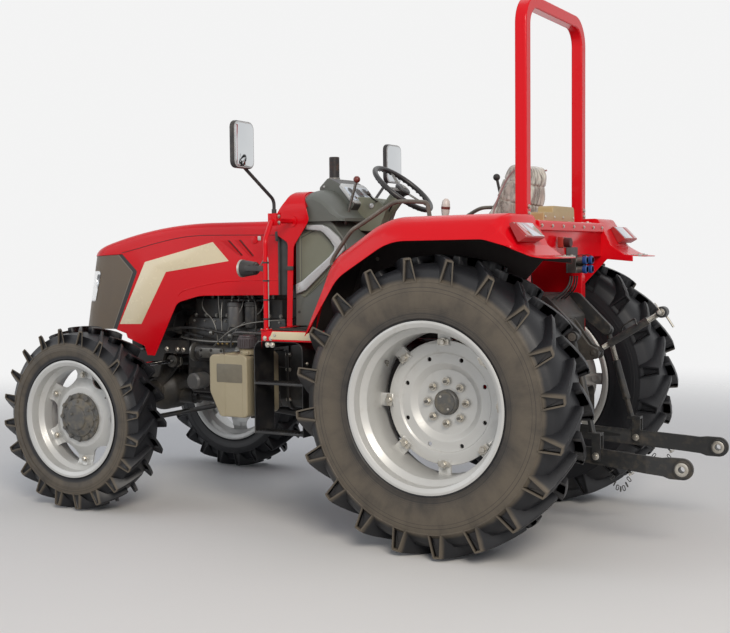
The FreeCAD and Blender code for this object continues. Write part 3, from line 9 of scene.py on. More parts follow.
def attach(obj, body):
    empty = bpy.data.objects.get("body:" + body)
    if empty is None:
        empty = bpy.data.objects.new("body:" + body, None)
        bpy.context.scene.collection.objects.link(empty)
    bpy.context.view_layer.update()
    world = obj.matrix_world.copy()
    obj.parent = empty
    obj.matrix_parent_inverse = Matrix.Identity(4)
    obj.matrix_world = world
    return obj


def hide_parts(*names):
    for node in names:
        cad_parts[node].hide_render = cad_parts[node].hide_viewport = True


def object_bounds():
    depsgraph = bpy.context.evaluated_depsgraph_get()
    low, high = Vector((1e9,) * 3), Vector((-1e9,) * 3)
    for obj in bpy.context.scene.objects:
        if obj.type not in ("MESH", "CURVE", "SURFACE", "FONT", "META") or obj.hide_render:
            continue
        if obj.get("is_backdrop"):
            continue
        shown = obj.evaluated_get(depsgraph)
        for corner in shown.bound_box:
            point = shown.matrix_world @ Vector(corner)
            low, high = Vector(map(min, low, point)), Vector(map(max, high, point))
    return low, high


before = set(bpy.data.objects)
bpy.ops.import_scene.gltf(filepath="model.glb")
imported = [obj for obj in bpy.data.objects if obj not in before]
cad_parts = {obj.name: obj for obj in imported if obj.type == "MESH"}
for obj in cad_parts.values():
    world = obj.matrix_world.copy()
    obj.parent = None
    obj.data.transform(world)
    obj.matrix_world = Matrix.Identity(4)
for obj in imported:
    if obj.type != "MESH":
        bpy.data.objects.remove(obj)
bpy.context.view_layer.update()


# The studio: a plain pale floor and backdrop, two large soft lamps and a sky-like world.
# The camera stands on the tractor's left behind the rear wheel, as the photograph was taken.

CAMERA_PLACE = Vector((-3.2925, 5.682, 1.429))
CAMERA_YAW, CAMERA_DIP, CAMERA_ROLL = math.radians(29.94), math.radians(3.10), math.radians(-0.53)
LENS_MM = 36 * 1168 / 730

lens = bpy.data.cameras.new("camera")
lens.lens = LENS_MM
lens.sensor_width = 36
camera = bpy.data.objects.new("camera", lens)
bpy.context.scene.collection.objects.link(camera)
bpy.context.scene.camera = camera
sight = Vector((math.sin(CAMERA_YAW) * math.cos(CAMERA_DIP), -math.cos(CAMERA_YAW) * math.cos(CAMERA_DIP),
                -math.sin(CAMERA_DIP)))
turn = sight.to_track_quat("-Z", "Y").to_matrix() @ Matrix.Rotation(CAMERA_ROLL, 3, "Z")
camera.matrix_world = Matrix.Translation(CAMERA_PLACE) @ turn.to_4x4()
bpy.context.scene.view_settings.view_transform = "Standard"


class Term:
    """A shader socket that plain arithmetic can be written with."""

    def __init__(self, tree, socket=None):
        self.tree = tree
        self.socket = socket

    def node(self, kind, settings=None, inputs=None, output=0):
        made = self.tree.nodes.new("ShaderNode" + kind)
        for name, value in (settings or {}).items():
            if name == "stops":
                ramp = made.color_ramp
                while len(ramp.elements) < len(value):
                    ramp.elements.new(0.5)
                for element, (place, colour) in zip(ramp.elements, value):
                    element.position = place
                    element.color = (*colour, 1) if len(colour) == 3 else colour
            else:
                setattr(made, name, value)
        for name, value in (inputs or {}).items():
            if isinstance(value, Term):
                self.tree.links.new(value.socket, made.inputs[name])
            else:
                made.inputs[name].default_value = value
        return Term(self.tree, made.outputs[output])

    def maths(self, operation, *values):
        return self.node("Math", {"operation": operation}, dict(enumerate(values)))

    def __add__(self, other):
        return self.maths("ADD", self, other)

    def __radd__(self, other):
        return self.maths("ADD", other, self)

    def __sub__(self, other):
        return self.maths("SUBTRACT", self, other)

    def __rsub__(self, other):
        return self.maths("SUBTRACT", other, self)

    def __mul__(self, other):
        return self.maths("MULTIPLY", self, other)

    def __rmul__(self, other):
        return self.maths("MULTIPLY", other, self)

    def __gt__(self, other):
        return self.maths("GREATER_THAN", self, other)

    def __lt__(self, other):
        return self.maths("LESS_THAN", self, other)

    def rise(self, low, high):
        """0 below low, 1 above high, smooth between."""
        return self.node("MapRange", {"interpolation_type": "SMOOTHSTEP"},
                         {"Value": self, "From Min": low, "From Max": high})

    def part(self, name):
        """One of X, Y and Z of a vector."""
        return self.node("SeparateXYZ", None, {0: self}, name)

    def scaled(self, scale, place=(0, 0, 0)):
        return self.node("Mapping", None, {"Vector": self, "Scale": scale, "Location": place})

    def noise(self, scale, detail=3, roughness=0.5):
        return self.node("TexNoise", None, {"Vector": self, "Scale": scale, "Detail": detail,
                                            "Roughness": roughness})

    def blend(self, first, second):
        """Goes from the first colour to the second as this term goes from 0 to 1."""
        colours = [(*c, 1) if isinstance(c, tuple) and len(c) == 3 else c for c in (first, second)]
        return self.node("Mix", {"data_type": "RGBA"}, {0: self, 6: colours[0], 7: colours[1]}, 2)


def finish(name, paint, **fixed):
    """A material: paint(term, place) returns what varies; the rest is set on the shader itself."""
    material = bpy.data.materials.new(name)
    material.use_nodes = True
    tree = material.node_tree
    shader = tree.nodes["Principled BSDF"]
    for socket, value in fixed.items():
        shader.inputs[socket.replace("_", " ")].default_value = value
    start = Term(tree)
    place = start.node("TexCoord", output="Object")
    for socket, value in paint(start, place).items():
        if socket == "Bump":
            height, strength, distance = value
            value = start.node("Bump", None, {"Height": height, "Strength": strength, "Distance": distance})
            socket = "Normal"
        tree.links.new(value.socket, shader.inputs[socket])
    return material


def coat(material, *nodes):
    """Gives CAD nodes their material."""
    for name in nodes:
        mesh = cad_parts[name].data
        mesh.materials.clear()
        mesh.materials.append(material)


def piece(name, bm, body, slot, *materials, smooth=True, replaced=()):
    """A finished bmesh as a piece on its body."""
    mesh = bpy.data.meshes.new(name)
    bm.to_mesh(mesh)
    bm.free()
    made = bpy.data.objects.new(name, mesh)
    bpy.context.scene.collection.objects.link(made)
    for material in materials:
        mesh.materials.append(material)
    if smooth:
        mesh.shade_smooth()
        mesh.set_sharp_from_angle(angle=math.radians(35))
    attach(made, body)
    if replaced:
        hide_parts(*replaced)
    return made


world = bpy.data.worlds.new("studio")
bpy.context.scene.world = world
world.use_nodes = True
world_tree = world.node_tree
sky = world_tree.nodes["Background"]
sky.inputs["Color"].default_value = (0.86, 0.9, 1, 1)
sky.inputs["Strength"].default_value = 0.40
backdrop = world_tree.nodes.new("ShaderNodeBackground")
backdrop.inputs["Color"].default_value = (0.9, 0.9, 0.9, 1)
backdrop.inputs["Strength"].default_value = 1.0
path = world_tree.nodes.new("ShaderNodeLightPath")
choose = world_tree.nodes.new("ShaderNodeMixShader")
seen = path.outputs["Is Camera Ray"]
for ray in ("Is Glossy Ray", "Is Transmission Ray"):
    either = world_tree.nodes.new("ShaderNodeMath")
    either.operation = "MAXIMUM"
    world_tree.links.new(seen, either.inputs[0])
    world_tree.links.new(path.outputs[ray], either.inputs[1])
    seen = either.outputs[0]
world_tree.links.new(seen, choose.inputs[0])
world_tree.links.new(sky.outputs[0], choose.inputs[1])
world_tree.links.new(backdrop.outputs[0], choose.inputs[2])
world_tree.links.new(choose.outputs[0], world_tree.nodes["World Output"].inputs[0])

floor_mesh = bmesh.new()
bmesh.ops.create_grid(floor_mesh, x_segments=1, y_segments=1, size=40)
floor_data = bpy.data.meshes.new("floor")
floor_mesh.to_mesh(floor_data)
floor_mesh.free()
floor = bpy.data.objects.new("floor", floor_data)
floor.location.z = -0.001
bpy.context.scene.collection.objects.link(floor)
floor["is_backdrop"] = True
floor_data.materials.append(finish(
    "studio_floor",
    lambda term, place: {"Base Color": place.noise(0.8).blend((0.76, 0.75, 0.73), (0.8, 0.79, 0.77)),
                           "Alpha": 1 - place.node("VectorMath", {"operation": "LENGTH"}, {0: place}, "Value").rise(3.2, 9)},
    Roughness=0.9, Specular_IOR_Level=0.2))

# columns: name, place, size, strength, colour
LAMPS = (
    ("key_lamp", (-6.5, 7.5, 6.5), 4.0, 700, (1.0, 0.93, 0.84)),
    ("fill_lamp", (6.0, 5.0, 4.0), 5.0, 83, (0.9, 0.94, 1.0)),
    ("top_lamp", (0.0, -3.0, 7.0), 6.0, 67, (0.95, 0.97, 1.0)),
)
for name, place, size, strength, colour in LAMPS:
    lamp = bpy.data.lights.new(name, "AREA")
    lamp.size = size
    lamp.energy = strength
    lamp.color = colour
    holder = bpy.data.objects.new(name, lamp)
    holder.location = place
    holder.rotation_mode = "QUATERNION"
    holder.rotation_quaternion = (Vector((0, 0, 0.8)) - Vector(place)).to_track_quat("-Z", "Y")
    bpy.context.scene.collection.objects.link(holder)


# Tyres: black rubber farm tyres, worn in by dry soil, with painted shade on their inner sidewalls and near the rim.
# Each has 20 bars a side, half a pitch apart across the middle, swept back to the shoulder, where they end in a dusty
# foot with a pocket.

# columns: wheel, hub centre, radius, half width, bar height, radius at the rim's lip
TYRES = (
    ("rear_left", (-0.8425, 0.724, 0.71), 0.710, 0.188, 0.038, 0.404),
    ("rear_right", (-0.8425, -0.724, 0.71), 0.710, 0.188, 0.038, 0.404),
    ("front_left", (1.3975, 0.758, 0.515), 0.515, 0.121, 0.032, 0.326),
    ("front_right", (1.3975, -0.758, 0.515), 0.515, 0.121, 0.032, 0.326),
)
BARS = 20


def rubber(term, place):
    # This attribute holds real soil and also painted shade: the inner sidewalls carry less of it and so render darker.
    soil = term.node("Attribute", {"attribute_name": "soil"}, output="Fac")
    across = term.node("Attribute", {"attribute_name": "round"}, output="Vector")
    streaks = across.noise(9, 5, 0.62)
    patches = place.noise(7, 4, 0.6)
    dust = (soil * (0.3 + streaks * 0.35 + patches * 0.75)).rise(0.3, 0.8)
    ratio = across.part("Y") * 4
    lines = 0
    for level, half in ((0.79, 0.0025), (0.765, 0.0018), (0.62, 0.003)):
        lines = (ratio > level - half) * (ratio < level + half) + lines
    # Painted shade: the sidewall colour is darkened by up to half towards the rim.
    rim_shade = ratio.rise(0.57, 0.72) * 0.5 + 0.5
    ribs = (ratio * 520).maths("SINE", ratio * 520) * (ratio < 0.66)
    colour = (dust * rim_shade * (1 - lines * 0.5) * 0.85).blend((0.012, 0.0125, 0.015), (0.135, 0.112, 0.083))
    fine = place.noise(120, 4, 0.6)
    return {"Base Color": colour, "Roughness": dust * 0.15 + 0.42,
            "Bump": (fine * 0.6 + streaks * 0.8 + ribs * 0.3 - lines, 0.3, 0.002)}


rubber_black = finish("tyre_rubber", rubber, Specular_IOR_Level=0.4)


def around(bm, sides):
    """Spins every edge of the mesh once round the wheel's axis."""
    bmesh.ops.spin(bm, geom=bm.verts[:] + bm.edges[:], cent=(0, 0, 0), axis=(0, 1, 0),
                   angle=math.tau, steps=sides, use_merge=True)


def line(bm, rows):
    """A run of edges through (across, radius) rows, ready to be spun."""
    points = [bm.verts.new((0, across, radius)) for across, radius in rows]
    for pair in zip(points, points[1:]):
        bm.edges.new(pair)


def loft(bm, sections):
    """A closed bar drawn out from one section to the next; gives back its last face."""
    face = bm.faces.new([bm.verts.new(corner) for corner in sections[0]])
    for last, section in zip(sections, sections[1:]):
        drawn = bmesh.ops.extrude_face_region(bm, geom=[face])["geom"]
        face = next(g for g in drawn if isinstance(g, bmesh.types.BMFace))
        for vert in face.verts:
            vert.co = section[min(range(len(last)), key=lambda i: (vert.co - last[i]).length)]
    bmesh.ops.holes_fill(bm, edges=[e for e in bm.edges if e.is_boundary], sides=0)
    bmesh.ops.recalc_face_normals(bm, faces=bm.faces[:])
    return face


def bar_section(radius, half_width, height, across, sweep, foot, base_half, top_half, drop):
    """Four corners of a bar where it crosses the tyre at one distance from the middle."""
    corners = []
    for level, half, sign in ((foot, base_half, -1), (foot, base_half, 1), (radius - drop, top_half, 1),
                              (radius - drop, top_half, -1)):
        angle = math.radians(-sweep) + sign * half / level
        corners.append(Vector((math.sin(angle) * level, across, math.cos(angle) * level)))
    return corners


def tyre(name, centre, radius, half_width, height, lip):
    big = radius / 0.71
    base = radius - height
    rows = [(half_width - 0.026, lip - 0.016), (half_width - 0.017, lip - 0.004), (half_width - 0.015, lip + 0.010),
            (half_width - 0.010, lip + 0.014), (half_width - 0.011, lip + 0.022), (half_width - 0.006, lip + 0.05 * big),
            (half_width - 0.001, lip + 0.1 * big), (half_width, base * 0.80), (half_width - 0.001, base * 0.835),
            (half_width - 0.004, base * 0.868), (half_width - 0.0025, base * 0.871), (half_width - 0.0035, base * 0.879),
            (half_width - 0.010, base * 0.884), (half_width - 0.030, base * 0.935), (half_width * 0.66, base * 0.98),
            (half_width * 0.33, base * 0.998), (0, base)]
    carcass = bmesh.new()
    line(carcass, rows + [(-across, level) for across, level in reversed(rows[:-1])])
    around(carcass, 120)
    # columns: share of the half width, sweep in degrees, foot radius, half widths below and above, drop
    stations = ((-0.06, -1.2, base - 0.01, 0.019, 0.0145, 0.000), (0.14, 1.3, base - 0.01, 0.021, 0.015, 0.000),
                (0.42, 4.6, base - 0.012, 0.024, 0.0165, 0.001), (0.70, 8.2, base - 0.02, 0.027, 0.018, 0.003),
                (0.90, 10.9, base * 0.90, 0.033, 0.0195, 0.007), (0.995, 12.2, base * 0.868, 0.0365, 0.019, 0.012))
    bars = bmesh.new()
    sections = [bar_section(radius, half_width, height, share * half_width, sweep, foot, low * big, top * big,
                            drop * big) for share, sweep, foot, low, top, drop in stations]
    end = loft(bars, sections)
    bars.faces.ensure_lookup_table()
    end = max(bars.faces, key=lambda f: f.calc_center_median().y)
    rim_edge = set(end.edges)
    bmesh.ops.bevel(bars, geom=[e for e in bars.edges if e not in rim_edge and e.calc_face_angle(0) > 0.6],
                    offset=0.004, affect="EDGES", segments=2, profile=0.5, material=-1)
    end = max(bars.faces, key=lambda f: (round(f.calc_center_median().y, 4), f.calc_area()))
    bmesh.ops.inset_individual(bars, faces=[end], thickness=0.0075 * big, depth=0)
    bmesh.ops.inset_individual(bars, faces=[end], thickness=0.003 * big, depth=-0.016 * big)
    bmesh.ops.spin(bars, geom=bars.verts[:] + bars.edges[:] + bars.faces[:], cent=(0, 0, 0), axis=(0, 1, 0),
                   angle=math.tau, steps=BARS, use_duplicate=True)
    bmesh.ops.remove_doubles(bars, verts=bars.verts[:], dist=0.00001)
    left = bpy.data.meshes.new("bars")
    bars.to_mesh(left)
    bars.free()
    carcass.from_mesh(left)
    left.transform(Matrix.Rotation(math.tau / BARS / 2, 4, "Y") @ Matrix.Scale(-1, 4, (0, 1, 0)))
    left.flip_normals()
    carcass.from_mesh(left)
    bpy.data.meshes.remove(left)
    soil = carcass.verts.layers.float.new("soil")
    ring = carcass.verts.layers.float_vector.new("round")
    for vert in carcass.verts:
        level = math.hypot(vert.co.x, vert.co.z)
        out = abs(vert.co.y) / half_width
        wall = min(1, max(0, (out - 0.86) / 0.1))
        outer = vert.co.y * centre[1] > 0
        # Painted shade: inner sidewalls, which face the tractor, take only 0.35 of the soil weight and render darker.
        vert[soil] = wall * (1 if outer else 0.35) * (0.95 if level > base * 0.88 else 0.8)
        ring_place = vert.co.normalized()
        vert[ring] = Vector((ring_place.x, level / radius * 0.25, ring_place.z))
    bmesh.ops.transform(carcass, matrix=Matrix.Translation(centre), verts=carcass.verts[:])
    return piece("tyre_cover_" + name, carcass, "wheel_" + name, "tyre", rubber_black,
                 replaced=["tyre_" + name])


for row in TYRES:
    tyre(*row)

# Rims, discs and hubs: pressed steel in silver grey paint, bolted at eight ears to the rim.
# The dark hub comes through the middle; small bolts are bright zinc, and the tyre valve is in the hub's dark grey.

def silver_paint(term, place):
    cloud = place.noise(3, 4)
    grime = (place.noise(14, 5, 0.65) + place.noise(3, 3) * 0.4).rise(0.78, 1.15) * 0.55
    return {"Base Color": grime.blend((0.56, 0.56, 0.54), (0.33, 0.29, 0.23)),
            "Roughness": cloud * 0.15 + grime * 0.25 + 0.3, "Bump": (place.noise(260, 2), 0.06, 0.0006)}


def hub_paint(term, place):
    grime = place.noise(22, 5, 0.65).rise(0.4, 0.7)
    return {"Base Color": grime.blend((0.085, 0.085, 0.082), (0.17, 0.15, 0.115)),
            "Roughness": grime * 0.25 + 0.42, "Bump": (place.noise(160, 3), 0.2, 0.001)}


def zinc_coat(term, place):
    dull = place.noise(60, 3)
    return {"Base Color": dull.blend((0.62, 0.6, 0.55), (0.34, 0.31, 0.26)), "Roughness": dull * 0.3 + 0.22}


silver = finish("wheel_silver", silver_paint, Metallic=0.25, Coat_Weight=0.1)
hub_grey = finish("hub_grey", hub_paint)
zinc = finish("bright_zinc", zinc_coat, Metallic=0.9)


def add(bm, part):
    """Puts a finished part into the piece that is being built."""
    kept = bpy.data.meshes.new("part")
    part.to_mesh(kept)
    part.free()
    bm.from_mesh(kept)
    bpy.data.meshes.remove(kept)


def turned(bm, rows, centre, axis, sides=32, paint=0):
    """A turned part: rows of radius and height, spun round an axis through a centre."""
    part = bmesh.new()
    points = [part.verts.new((radius, 0, height)) for radius, height in rows]
    for pair in zip(points, points[1:]):
        part.edges.new(pair)
    bmesh.ops.spin(part, geom=part.verts[:] + part.edges[:], cent=(0, 0, 0), axis=(0, 0, 1),
                   angle=math.tau, steps=sides, use_merge=True)
    bmesh.ops.remove_doubles(part, verts=part.verts[:], dist=0.000001)
    bmesh.ops.recalc_face_normals(part, faces=part.faces[:])
    for face in part.faces:
        face.material_index = paint
    way = Vector(axis).to_track_quat("Z", "Y").to_matrix().to_4x4()
    part.transform(Matrix.Translation(centre) @ way)
    add(bm, part)


def bolt(bm, centre, axis, radius, paint=0):
    """Hexagon head on a round washer."""
    turned(bm, [(0, -0.001), (radius * 1.35, -0.001), (radius * 1.35, radius * 0.2), (0, radius * 0.2)],
           centre, axis, 16, paint)
    turned(bm, [(0, 0), (radius, 0), (radius, radius * 0.7), (radius * 0.84, radius * 0.85), (0, radius * 0.85)],
           centre, axis, 6, paint)


def plate(bm, corners, depth, rounding=0.0, edge=0.001, paint=0):
    """A flat outline drawn out by a depth, with round corners and broken edges."""
    part = bmesh.new()
    face = part.faces.new([part.verts.new(corner) for corner in corners])
    drawn = bmesh.ops.extrude_face_region(part, geom=[face])["geom"]
    bmesh.ops.translate(part, vec=depth, verts=[g for g in drawn if isinstance(g, bmesh.types.BMVert)])
    bmesh.ops.holes_fill(part, edges=[e for e in part.edges if e.is_boundary], sides=0)
    bmesh.ops.recalc_face_normals(part, faces=part.faces[:])
    if rounding:
        way = Vector(depth).normalized()
        uprights = [e for e in part.edges if abs((e.verts[0].co - e.verts[1].co).normalized().dot(way)) > 0.99]
        bmesh.ops.bevel(part, geom=uprights, offset=rounding, affect="EDGES", segments=5, profile=0.5, material=-1)
    if edge:
        bmesh.ops.bevel(part, geom=[e for e in part.edges if e.calc_face_angle(0) > 0.6], offset=edge,
                        affect="EDGES", segments=2, profile=0.5, material=-1)
    for face in part.faces:
        face.material_index = paint
    add(bm, part)


def finished(node, body, slot, *materials, edge=0.002, zones=()):
    """A CAD node's own shape as a finished piece: welded, smooth where it curves, its edges broken.

    Each zone is a test on a face's middle, for the second material and on.
    """
    bm = bmesh.new()
    bm.from_mesh(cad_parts[node].data)
    bmesh.ops.remove_doubles(bm, verts=bm.verts[:], dist=0.00002)
    for face in bm.faces:
        face.material_index = 0
        for number, test in enumerate(zones, 1):
            if test(face.calc_center_median()):
                face.material_index = number
    bmesh.ops.dissolve_limit(bm, angle_limit=0.01, verts=bm.verts[:], edges=bm.edges[:], delimit={"MATERIAL"})
    made = piece("finished_" + node, bm, body, slot, *materials, replaced=[node])
    if edge:
        softened = made.modifiers.new("broken_edges", "BEVEL")
        softened.width = edge
        softened.segments = 2
        softened.limit_method = "ANGLE"
        softened.angle_limit = math.radians(50)
        softened.use_clamp_overlap = False
    return made


REAR_HUB = Vector((-0.8425, 0.724, 0.71))
FRONT_HUB = Vector((1.3975, 0.758, 0.515))

for side, sign in (("left", 1), ("right", -1)):
    out = Vector((0, sign, 0))
    for end in ("rear", "front"):
        finished("wheel_%s_%s" % (end, side), "wheel_%s_%s" % (end, side), "wheel_silver", silver, edge=0)
        finished("hub_%s_%s" % (end, side), "wheel_%s_%s" % (end, side), "hub_grey", hub_grey, edge=0)
    middle = Vector((REAR_HUB.x, REAR_HUB.y * sign, REAR_HUB.z))
    fixings = bmesh.new()
    for i in range(8):
        turn = math.tau * i / 8
        way = Vector((math.sin(turn), 0, math.cos(turn)))
        across = Vector((math.cos(turn), 0, -math.sin(turn)))
        ear = middle + way * 0.294 - out * 0.0405
        plate(fixings, [ear + across * a * 0.03 + way * b * 0.014 for a, b in ((-1, -1), (1, -1), (1, 1), (-1, 1))],
              out * 0.005, 0.006, 0.001)
        bolt(fixings, ear + out * 0.005, out, 0.0145)
        bolt(fixings, middle + way * 0.1016 - out * 0.071, out, 0.0155)
        turned(fixings, [(0, 0), (0.007, 0), (0.007, 0.012), (0, 0.013)],
               middle + way * 0.1016 - out * 0.06, out, 12, 1)
    turn = math.radians(55)
    valve = middle + Vector((math.sin(turn), 0, math.cos(turn))) * 0.335 + out * 0.02
    turned(fixings, [(0, 0), (0.011, 0), (0.009, 0.014), (0.0045, 0.016), (0.0045, 0.042), (0, 0.044)],
           valve, (-math.sin(turn) * 0.6, sign * 0.8, -math.cos(turn) * 0.6), 16, 1)
    turned(fixings, [(0, 0), (0.052, 0), (0.05, 0.006), (0.012, 0.012), (0, 0.012)],
           middle - out * 0.0565, out, 40, 1)
    for turn in (0.6, 0.6 + math.pi):
        notch = middle - out * 0.05 + Vector((math.sin(turn), 0, math.cos(turn))) * 0.036
        turned(fixings, [(0, 0), (0.006, 0), (0.0055, 0.005), (0, 0.0055)], notch, out, 12)
    piece("rear_wheel_fixings_" + side, fixings, "wheel_rear_" + side, "steel_rod", zinc, hub_grey)
    middle = Vector((FRONT_HUB.x, FRONT_HUB.y * sign, FRONT_HUB.z))
    fixings = bmesh.new()
    for i in range(12):
        turn = math.tau * i / 12
        way = Vector((math.sin(turn), 0, math.cos(turn)))
        bolt(fixings, middle + way * 0.1235 + out * 0.0345, out, 0.0125, 1)
    for i in range(6):
        turn = math.tau * i / 6
        way = Vector((math.sin(turn), 0, math.cos(turn)))
        bolt(fixings, middle + way * 0.24 + out * 0.0005, out, 0.0135)
        bolt(fixings, middle + way * 0.09 + out * 0.0465, out, 0.0075, 1)
    bolt(fixings, middle + Vector((0.028, 0, 0.022)) + out * 0.066, out, 0.009, 1)
    turn = math.radians(-60)
    valve = middle + Vector((math.sin(turn), 0, math.cos(turn))) * 0.268 + out * 0.025
    turned(fixings, [(0, 0), (0.009, 0), (0.0045, 0.012), (0.0045, 0.036), (0, 0.038)],
           valve, (-math.sin(turn) * 0.6, sign * 0.8, -math.cos(turn) * 0.6), 16, 1)
    piece("front_wheel_fixings_" + side, fixings, "wheel_front_" + side, "steel_rod", zinc, hub_grey)


# Castings: engine, gearbox, axle housings and front bolster, cast iron under thin black paint.
# Dry soil lies on them in patches; flanges are drawn together by rows of hexagon bolts.

def casting_coat(term, place):
    grime = (place.noise(9, 6, 0.65) * 0.7 + place.noise(2.5, 3) * 0.5).rise(0.5, 0.85)
    return {"Base Color": grime.blend((0.014, 0.014, 0.0145), (0.06, 0.052, 0.041)),
            "Roughness": grime * 0.3 + 0.42, "Bump": (place.noise(240, 4, 0.65), 0.35, 0.0012)}


casting = finish("casting_black", casting_coat)


def pipe(bm, points, radius, paint=0, order=3):
    """Round bar, tube or hose on a smooth line that is led by its points."""
    line_of = bpy.data.curves.new("run", "CURVE")
    line_of.dimensions = "3D"
    line_of.bevel_depth = radius
    line_of.bevel_resolution = 3
    line_of.resolution_u = 10
    line_of.use_fill_caps = True
    spline = line_of.splines.new("NURBS")
    spline.points.add(len(points) - 1)
    for point, place in zip(spline.points, points):
        point.co = (*place, 1)
    spline.order_u = order
    spline.use_endpoint_u = True
    holder = bpy.data.objects.new("run", line_of)
    made = bpy.data.meshes.new_from_object(holder)
    part = bmesh.new()
    part.from_mesh(made)
    bpy.data.objects.remove(holder)
    bpy.data.curves.remove(line_of)
    bpy.data.meshes.remove(made)
    bmesh.ops.remove_doubles(part, verts=part.verts[:], dist=0.00001)
    bmesh.ops.recalc_face_normals(part, faces=part.faces[:])
    for face in part.faces:
        face.material_index = paint
    add(bm, part)


def at(x, y, z):
    """A place measured from the rear axle, in millimetres, as the drawings have it."""
    return Vector((x / 1000 - 0.8425, y / 1000, z / 1000))


for node in ("transmission", "rear_axle", "front_axle", "front_support"):
    finished(node, "chassis", "drive_black", casting, edge=0 if node == "front_support" else 0.003)
fixings = bmesh.new()
# columns: x of the joint, half width, bottom and top of the flange, corner
for x, half, low, high, corner in ((1190, 238, 548, 1012, 64), (950, 238, 548, 1012, 64), (152, 243, 408, 1022, 44)):
    plate(fixings, [at(x - 9, -half, low), at(x - 9, half, low), at(x - 9, half, high), at(x - 9, -half, high)],
          (0.018, 0, 0), corner / 1000, 0.002)
    for y_sign in (1, -1):
        for step in range(5):
            z = low + corner + (high - low - 2 * corner) * step / 4
            bolt(fixings, at(x - 9, y_sign * (half - 10), z), (-1, 0, 0), 0.009, 1)
            bolt(fixings, at(x + 9, y_sign * (half - 10), z), (1, 0, 0), 0.009, 1)
for sign in (1, -1):
    for i in range(12):
        turn = math.tau * (i + 0.5) / 12
        bolt(fixings, at(math.sin(turn) * 136, sign * 260, 710 + math.cos(turn) * 136), (0, sign, 0), 0.0095, 1)
    for i in range(10):
        turn = math.tau * (i + 0.5) / 10
        bolt(fixings, at(math.sin(turn) * 102, sign * 525, 710 + math.cos(turn) * 102), (0, -sign, 0), 0.0075, 1)
    # side cover of the rear housing and its bolts
    plate(fixings, [at(-300, sign * 229, 470), at(-165, sign * 229, 470), at(-165, sign * 229, 560),
                    at(-300, sign * 229, 560)], (0, sign * 0.008, 0), 0.02, 0.002)
    plate(fixings, [at(330, sign * 183, 520), at(840, sign * 183, 520), at(840, sign * 187, 860),
                    at(330, sign * 187, 860)], (0, sign * 0.012, 0), 0.05, 0.003)
    for x in (365, 480, 600, 720, 805):
        for z in (545, 835):
            bolt(fixings, at(x, sign * 196, z), (0, sign, 0), 0.0085, 1)
    for x in (420, 585, 750):
        plate(fixings, [at(x - 5, sign * 180, 470), at(x + 5, sign * 180, 470), at(x + 5, sign * 180, 930),
                        at(x - 5, sign * 180, 930)], (0, sign * 0.022, 0), 0, 0.003)
    for x, z in ((1965, 865), (2010, 865), (2090, 865), (2300, 780), (2380, 780), (2560, 720), (2660, 720),
                 (2560, 800), (2660, 800)):
        bolt(fixings, at(x, sign * 194, z), (0, sign, 0), 0.011, 1)
for y in (-60, 0, 60):
    for z in (665, 830):
        bolt(fixings, at(2769, y, z), (1, 0, 0), 0.011, 1)
for turn_step in range(10):
    turn = math.tau * turn_step / 10
    bolt(fixings, at(2240 + math.sin(turn) * 108, 66, 600 + math.cos(turn) * 108), (0, 1, 0), 0.008, 1)
    bolt(fixings, at(-362, math.sin(turn) * 70, 640 + math.cos(turn) * 70), (-1, 0, 0), 0.007, 1)
piece("casting_bolts", fixings, "chassis", "drive_black", casting, zinc)

# The engine: four cylinders under a pressed cover, with its fuel pump, pipes and two filters on
# the left, manifold and alternator on the right; steel pipes are clipped along its side.

def engine_coat(term, place):
    grime = place.noise(14, 6, 0.65).rise(0.42, 0.72)
    return {"Base Color": grime.blend((0.018, 0.018, 0.019), (0.045, 0.039, 0.031)),
            "Roughness": grime * 0.35 + 0.3, "Bump": (place.noise(130, 4, 0.6), 0.3, 0.0012)}


engine_black = finish("engine_black", engine_coat)
bare_metal = finish("bare_metal", lambda term, place: {
    "Base Color": place.noise(30, 4).blend((0.3, 0.3, 0.29), (0.12, 0.11, 0.09)),
    "Roughness": place.noise(50, 3) * 0.3 + 0.28}, Metallic=0.8)
hose_black = finish("hose_black", lambda term, place: {
    "Base Color": place.noise(24, 5).rise(0.4, 0.75).blend((0.012, 0.012, 0.013), (0.05, 0.045, 0.038)),
    "Roughness": place.noise(60, 3) * 0.2 + 0.45, "Bump": (place.noise(180, 2), 0.15, 0.0006)})
filter_white = finish("filter_white", lambda term, place: {
    "Base Color": place.noise(30, 4).rise(0.5, 0.8).blend((0.1, 0.1, 0.1), (0.16, 0.145, 0.12)),
    "Roughness": place.noise(60, 3) * 0.2 + 0.3})
brass = finish("brass_fitting", lambda term, place: {
    "Base Color": place.noise(60, 3).blend((0.5, 0.36, 0.14), (0.3, 0.2, 0.08)),
    "Roughness": place.noise(50, 3) * 0.3 + 0.25}, Metallic=0.9)

